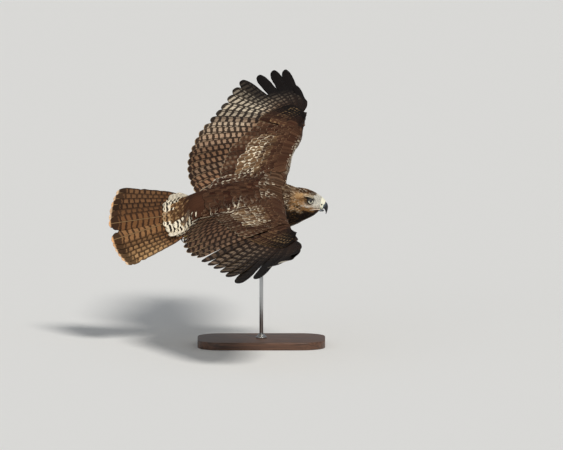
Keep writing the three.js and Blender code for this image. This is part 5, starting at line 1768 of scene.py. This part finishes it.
def eye_material():
    """Glassy eye: a black pupil in a pale iris with fine spokes, under a clear wet surface."""
    material = surface_of(
        "Glass eye", (), Roughness=0.35, Coat_Weight=1.0, Coat_Roughness=0.02, Coat_IOR=1.38)
    tree = material.node_tree
    made = draw(tree, (
        ("off", "value", "off_axis"), ("off", "DIVIDE", "off", 10.0), ("sweep", "vector", "sweep"),
        ("sweep", "stretch", "sweep", (6.0, 90.0, 1.0)), ("spokes", "noise", "sweep", 1.0, 2.0),
        ("shade", "range", "spokes", 0.0, 1.0, 0.72, 1.2)), {})
    rings = add(tree, "ShaderNodeValToRGB", {0: made["off"]})
    # Pupil, iris and rim, by the distance from the middle in centimetres
    stops = rings.node.color_ramp.elements
    for k, (position, code) in enumerate((
            (0.31, "#040404"), (0.34, "#a39b7f"), (0.38, "#dad6bd"), (0.52, "#e9e5d2"),
            (0.57, "#9a9174"), (0.61, "#17120e"))):
        stop = stops[k] if k < 2 else stops.new(position)
        stop.position, stop.color = position, linear(code)
    made = draw(tree, (("ink", "dim", 1.0, "rings", "shade"),), dict(made, rings=rings))
    tree.links.new(made["ink"], tree.nodes["Principled BSDF"].inputs["Base Color"])
    return material


def skin_like(name, base, tint, cell, depth, roughness, groove_tone=0.68, hollow=None):
    """Bare skin: two close colours in patches, and a relief of cells of a real size in millimetres."""
    steps = [
        ("place", "place"), ("patches", "noise", "place", 1 / (cell * 3.2 * MM), 3.0),
        ("cells", "cells", "place", 1 / (cell * MM)), ("groove", "step", "cells", 0.0, 0.22),
        ("ink", "mix", "patches", base, tint), ("shade", "range", "groove", 0.0, 1.0, groove_tone, 1.0),
        ("Base Color", "dim", 1.0, "ink", "shade"), ("Normal", "bump", "groove", 0.6, depth * MM)]
    if hollow:
        # A hollow's mask paints it dark: painted shade in a recess
        steps += [("hollow", "value", "hollow"), ("Base Color", "mix", "hollow", "Base Color", hollow)]
    return surface_of(name, steps, Roughness=roughness, Subsurface_Weight=0.08, Subsurface_Scale=0.001)


def horn_material(name, root, tip, start, end):
    """Horn: pale at its root and dark at its point, with growth lines and a soft polish."""
    return surface_of(name, (
        ("sweep", "vector", "sweep"), ("run", "x", "sweep"), ("place", "place"),
        ("cloud", "noise", "place", 260.0, 3.0), ("shift", "SUBTRACT", "cloud", 0.5),
        ("shift", "MULTIPLY", "shift", 0.3), ("run", "ADD", "run", "shift"),
        ("fade", "step", "run", start, end), ("Base Color", "mix", "fade", root, tip),
        ("lines", "MULTIPLY", "run", 150.0), ("lines", "SINE", "lines"),
        ("Normal", "bump", "lines", 0.12, 0.0003), ("Roughness", "range", "cloud", 0.0, 1.0, 0.22, 0.42)))


def walnut_material():
    """Oiled walnut, planed along the grain: dark growth lines, fine pores and a satin film."""
    return surface_of("Oiled walnut", (
        ("place", "place"), ("board", "stretch", "place", (1.0, 9.0, 9.0)),
        ("drift", "noise", "board", 3.2, 3.0), ("lines", "MULTIPLY", "drift", 62.0),
        ("lines", "SINE", "lines"), ("lines", "range", "lines", -1.0, 1.0),
        ("fine", "stretch", "place", (14.0, 520.0, 520.0)), ("pores", "noise", "fine", 1.0, 2.0),
        ("pores", "range", "pores", 0.32, 0.46), ("cloud", "noise", "board", 11.0, 2.0),
        ("wood", "mix", "lines", "#5d4030", "#38241a"), ("warm", "range", "cloud", 0.35, 0.7, 0.0, 0.5),
        ("wood", "mix", "warm", "wood", "#6f4d38"), ("deep", "range", "pores", 0.0, 1.0, 0.45, 0.0),
        ("Base Color", "mix", "deep", "wood", "#1c110b"), ("Normal", "bump", "pores", 0.25, 0.0002),
        ("Roughness", "range", "cloud", 0.0, 1.0, 0.34, 0.5)))


def steel_material():
    """Drawn stainless steel, brushed round its axis: fine scratches in the gloss."""
    return surface_of("Brushed stainless steel", (
        ("place", "place"), ("flat", "stretch", "place", (60.0, 60.0, 2600.0)),
        ("brushed", "noise", "flat", 1.0, 2.0), ("Roughness", "range", "brushed", 0.0, 1.0, 0.2, 0.42),
        ("Base Color", "mix", "brushed", "#a4a6a8", "#c3c5c6"),
        ("Normal", "bump", "brushed", 0.15, 0.00005)), Metallic=1.0)


# Operators


# Side of the floor, in metres
FLOOR_SIZE = 80.0


class HAWK_OT_stage(bpy.types.Operator):
    """Floor, soft light and the camera"""

    bl_idname = "hawk.stage"
    bl_label = "Stage"

    def execute(self, context):
        stage, scene = context.scene.hawk_stage, context.scene
        half = FLOOR_SIZE / 2
        corners = [(-half, -half, 0), (half, -half, 0), (half, half, 0), (-half, half, 0)]
        floor = linked("floor", mesh_of("floor", corners, [[0, 1, 2, 3]]))
        floor.data.materials.append(surface_of(
            "Matt painted board", (), Base_Color=stage.floor, Roughness=0.9, Specular_IOR_Level=0.2))
        world = bpy.data.worlds.new("Soft surround")
        world.use_nodes = True
        back = world.node_tree.nodes["Background"]
        back.inputs["Color"].default_value = stage.sky
        back.inputs["Strength"].default_value = 0.34
        scene.world = world
        for name, come_from, spread, strength, tint in (
            ("key", (0.55, -1.25, 1.25), 14, 2.5, (1, 0.96, 0.9)),
            ("fill", (-1.0, -1.6, 0.5), 50, 0.35, (0.93, 0.96, 1)),
        ):
            light = bpy.data.lights.new(name, "SUN")
            light.angle = math.radians(spread)
            light.energy = strength
            light.color = tint
            lamp = bpy.data.objects.new(name, light)
            lamp.location = Vector(come_from) * 2
            lamp.rotation_euler = (-Vector(come_from)).to_track_quat("-Z", "Y").to_euler()
            scene.collection.objects.link(lamp)
        scene.view_settings.view_transform = "Standard"
        camera = bpy.data.cameras.new("camera")
        camera.sensor_width = 36
        camera.lens = camera.sensor_width * stage.distance / stage.view_width
        camera.clip_start = 1.0
        camera.clip_end = 200
        eye = bpy.data.objects.new("camera", camera)
        target = Vector(stage.target)
        back_to = Vector((0, -math.cos(stage.elevation), math.sin(stage.elevation)))
        eye.location = target + back_to * stage.distance
        eye.rotation_euler = (-back_to).to_track_quat("-Z", "Y").to_euler()
        scene.collection.objects.link(eye)
        scene.camera = eye
        return {"FINISHED"}


class HAWK_OT_plumage(bpy.types.Operator):
    """One skin with its coat of small feathers"""

    bl_idname = "hawk.plumage"
    bl_label = "Skin and coat"

    def execute(self, context):
        colours, sizes = context.scene.hawk_colours, context.scene.hawk_sizes
        coat = coat_material("Contour feather", colours, sizes)
        skin = build_skin()
        mesh = skin.data
        found = survey(mesh)
        tone, mark, look, size = paint(mesh, found, colours)
        lie = lie_of_coat(mesh, found)
        up = unit(even_out(mesh, read(mesh.vertices, "normal", 3), 6))
        uv = coat_chart(mesh, found)
        mesh.attributes.new("OFBake", "FLOAT2", "CORNER")
        store(mesh, "OFBake", "FLOAT2", "CORNER", uv)
        store(mesh, "root", "FLOAT_VECTOR", "CORNER", np.concatenate([uv, np.zeros((len(uv), 1))], axis=1))
        store(mesh, "lie", "FLOAT_VECTOR", "POINT", lie @ BIRD_TURN.T)
        store(mesh, "up", "FLOAT_VECTOR", "POINT", up)
        store(mesh, "tone", "FLOAT_COLOR", "POINT", np.c_[tone, np.ones(len(tone))])
        store(mesh, "mark", "FLOAT_COLOR", "POINT", np.c_[mark, np.ones(len(mark))])
        for name, kinds in CARRIED.items():
            store(mesh, name, "FLOAT_VECTOR", "POINT", np.stack([look[kind] for kind in kinds], -1))
        label, (x, _, z), hx = found["label"], found["points"].T, found["head"][:, 0]
        trunk = label == TRUNK
        eye_near = np.min([np.linalg.norm(found["head"] - eye_at(side, 1, 5), axis=1) for side in (1, -1)],
                          axis=0)
        open_eye = ramp(eye_near, 5.6, 6.6)
        head = trunk & (hx > -24)
        regions = {
            "face": (head & (hx > 0)) * open_eye,
            "crown": (head & (hx <= 4)) * open_eye,
            "neck": trunk & ~head & (x > 66),
            "back": trunk & (x <= 72) & (z > -6) & (x > -118),
            "breast": trunk & (x <= 90) & (z <= 0) & (x > -150),
            "thighs": label >= THIGH_LEFT,
            "wing_left_top": label == TOP_LEFT,
            "wing_right_top": label == TOP_RIGHT,
            "wing_left_low": label == LOW_LEFT,
            "wing_right_low": label == LOW_RIGHT,
        }
        tree = coat_tree()
        wide = contour_feather("feather_wide", 6, 5, 0.6)
        slim = contour_feather("feather_slim", 6, 4, 0.34)
        small = contour_feather("feather_small", 4, 3, 0.36)
        plan = (
            ("face", small, 1.35, 0.8, 1.25, 0.24), ("crown", small, 1.75, 0.85, 1.15, 0.24),
            ("neck", slim, 2.8, 0.9, 1.15, 0.22), ("back", wide, 5.0, 1.0, 1.0, 0.14),
            ("breast", wide, 5.4, 1.1, 1.0, 0.18),
            ("thighs", slim, 4.0, 1.1, 1.0, 0.2), ("wing_left_top", wide, 4.6, 0.9, 1.0, 0.12),
            ("wing_right_top", wide, 4.6, 0.9, 1.0, 0.12), ("wing_left_low", wide, 4.6, 0.9, 1.0, 0.12),
            ("wing_right_low", wide, 4.6, 0.9, 1.0, 0.12),
        )
        for seed, (name, feather, spacing, lift, stretch, sway) in enumerate(plan):
            store(mesh, "on_" + name, "FLOAT", "POINT", np.asarray(regions[name], float))
            store(mesh, "size", "FLOAT", "POINT", size * stretch * MM)
            piece = grown("coat_" + name, skin, tree, {
                "Feather": feather, "Where": "on_" + name, "Spacing": spacing * MM, "Lift": lift,
                "Turn": sway, "Seed": seed + 5, "Patch": PATCH, "Material": coat})
            settle(piece, None, "plumage")
            mesh.attributes.remove(mesh.attributes["on_" + name])
        for name in ("root", "lie", "up", "size"):
            mesh.attributes.remove(mesh.attributes[name])
        for feather in (wide, slim, small):
            bpy.data.objects.remove(feather)
        settle(skin, skin_material(), "plumage", "torso", "neck", "head", "thigh_left", "thigh_right")
        return {"FINISHED"}


def coat_material(name, colours, sizes):
    return feather_material(name, {
        "Spacing": sizes.covert_bars / MM, "Share": 0.1, "Band": 5.0, "Band strength": 0.0, "Shaft": 0.2,
        "Barbs": sizes.barbs / MM, "Dark": colours.bar, "Pale": colours.panel, "Dusk": colours.finger,
        "Quill": colours.bar, "Reverse": colours.belly}, 0.8)


def skin_material():
    """Down over skin: what shows between feathers has their colour, darker."""
    return surface_of("Down on skin", (
        ("tone", "colour", "tone"), ("place", "place"), ("speck", "noise", "place", 900.0, 2.0),
        ("shade", "range", "speck", 0.0, 1.0, 0.35, 0.75), ("Base Color", "dim", 1.0, "tone", "shade"),
        ("Normal", "bump", "speck", 0.6, 0.0006)), Roughness=0.9)


class HAWK_OT_wings(bpy.types.Operator):
    """Flight feathers and coverts of both wings"""

    bl_idname = "hawk.wings"
    bl_label = "Wings"

    def execute(self, context):
        colours, sizes = context.scene.hawk_colours, context.scene.hawk_sizes
        drawn = [feather_material(kind, {
            "Spacing": spacing / MM, "Share": share, "Band": 12.0, "Band strength": 1.0, "Shaft": 0.85,
            "Barbs": sizes.barbs / MM, "Lines": 1.0, "Outer web": web, "Slant": slant, "Dark": colours.bar,
            "Pale": colours.panel, "Dusk": colours.finger, "Quill": linear("#17100c"),
            "Reverse": linear("#cfc6b4")}, 0.6)
            for kind, spacing, share, web, slant in (
                ("Primary feather", sizes.hand_bars, -0.1, 0.3, 0.5),
                ("Secondary feather", sizes.wing_bars, -0.15, 0.66, 0.0))]
        coat = coat_material("Wing covert", colours, sizes)
        for name in WINGS:
            for piece, material in zip(build_flight(name, colours), drawn):
                settle(piece, material, "flight_feather", "wing_" + name)
            for piece in build_coverts(name, colours):
                settle(piece, coat, "plumage", "wing_" + name)
        return {"FINISHED"}


class HAWK_OT_tail(bpy.types.Operator):
    """Tail feathers and the coverts over and under their roots"""

    bl_idname = "hawk.tail"
    bl_label = "Tail"

    def execute(self, context):
        colours, sizes = context.scene.hawk_colours, context.scene.hawk_sizes
        material = feather_material("Tail feather", {
            "Spacing": sizes.tail_bars / MM, "Share": -0.45, "Band": 26.0, "Band strength": 1.0,
            "Shaft": 0.55, "Barbs": sizes.barbs / MM, "Tip only": 1.0, "Lines": 0.8, "Outer web": 0.62,
            "Dark": linear("#22140b"), "Pale": linear("#b08d62"), "Dusk": colours.bar,
            "Quill": linear("#a5845a"), "Reverse": linear("#d8cbb2")}, 0.6)
        settle(build_tail(colours), material, "tail_feather", "tail")
        coat = coat_material("Tail covert", colours, sizes)
        for piece in build_rump(colours):
            settle(piece, coat, "plumage", "tail")
        return {"FINISHED"}


class HAWK_OT_head(bpy.types.Operator):
    """Eyes, lids, cere and bill"""

    bl_idname = "hawk.head"
    bl_label = "Head parts"

    def execute(self, context):
        eye = eye_material()
        rim = skin_like("Lid skin", "#1d1815", "#37302b", 0.9, 0.15, 0.5)
        # The nostrils' dark is painted shade in their openings
        soft = skin_like("Cere skin", "#dfdebc", "#f2f1e4", 0.7, 0.05, 0.42, 0.92, hollow="#23231a")
        mouth = skin_like("Gape skin", "#c9b096", "#e2d4bf", 0.7, 0.05, 0.4, 0.9)
        for name, side in (("left", 1), ("right", -1)):
            settle(linked("eyeball_" + name, build_eye(side)), eye, "eye", "eye_" + name)
            settle(linked("lid_" + name, build_lid(side)), rim, "cere")
            settle(linked("gape_" + name, build_gape(side)), mouth, "cere")
        settle(build_cere(), soft, "cere", "cere")
        upper, lower = build_bill()
        dark = horn_material("Bill horn", "#4d555e", "#101114", 0.02, 0.4)
        settle(upper, dark, "horn", "bill_upper")
        grey = horn_material("Lower bill horn", "#7a828a", "#1c1e22", 0.35, 0.95)
        settle(lower, grey, "horn", "bill_lower")
        return {"FINISHED"}


class HAWK_OT_legs(bpy.types.Operator):
    """Shanks, feet and claws"""

    bl_idname = "hawk.legs"
    bl_label = "Legs"

    def execute(self, context):
        scale = skin_like("Scaled skin", "#c8a53a", "#dcc468", 1.9, 0.35, 0.5)
        claw = horn_material("Claw horn", "#2c2b2d", "#0b0b0c", 0.0, 0.5)
        for name, side in (("left", 1), ("right", -1)):
            shank, foot, claws = build_leg(side)
            for piece, kind in ((shank, "shank"), (foot, "foot"), (claws, "claws")):
                piece.name = kind + "_form_" + name
            settle(shank, scale, "leg_scale", "shank_" + name)
            settle(foot, scale, "leg_scale", "foot_" + name)
            settle(claws, claw, "claw", *["claw_" + toe + "_" + name for toe in TOES])
        return {"FINISHED"}


class HAWK_OT_stand(bpy.types.Operator):
    """Plain display stand: plate, collar and rod"""

    bl_idname = "hawk.stand"
    bl_label = "Stand"

    def execute(self, context):
        steel = steel_material()
        collar, rod = build_metal()
        settle(build_base(), walnut_material(), "walnut", "stand_base")
        settle(collar, steel, "steel", "stand_collar")
        settle(rod, steel, "steel", "stand_rod")
        return {"FINISHED"}


class HAWK_PT_panel(bpy.types.Panel):
    """The pieces of the hawk"""

    bl_label = "Hawk"
    bl_space_type = "VIEW_3D"
    bl_region_type = "UI"
    bl_category = "Hawk"

    def draw(self, context):
        for operator in OPERATORS:
            self.layout.operator(operator.bl_idname)
        for group in (context.scene.hawk_colours, context.scene.hawk_sizes, context.scene.hawk_stage):
            for name in group.__annotations__:
                self.layout.prop(group, name)


OPERATORS = (HAWK_OT_stage, HAWK_OT_plumage, HAWK_OT_wings, HAWK_OT_tail, HAWK_OT_head, HAWK_OT_legs,
             HAWK_OT_stand)
CLASSES = (HawkColours, HawkSizes, HawkStage) + OPERATORS + (HAWK_PT_panel,)


def register():
    for made in CLASSES:
        bpy.utils.register_class(made)
    bpy.types.Scene.hawk_colours = bpy.props.PointerProperty(type=HawkColours)
    bpy.types.Scene.hawk_sizes = bpy.props.PointerProperty(type=HawkSizes)
    bpy.types.Scene.hawk_stage = bpy.props.PointerProperty(type=HawkStage)


def unregister():
    for name in ("hawk_colours", "hawk_sizes", "hawk_stage"):
        delattr(bpy.types.Scene, name)
    for made in reversed(CLASSES):
        bpy.utils.unregister_class(made)


def main():
    register()
    bpy.ops.hawk.stage()
    bpy.ops.hawk.plumage()
    bpy.ops.hawk.wings()
    bpy.ops.hawk.tail()
    bpy.ops.hawk.head()
    bpy.ops.hawk.legs()
    bpy.ops.hawk.stand()


if __name__ == "__main__":
    main()
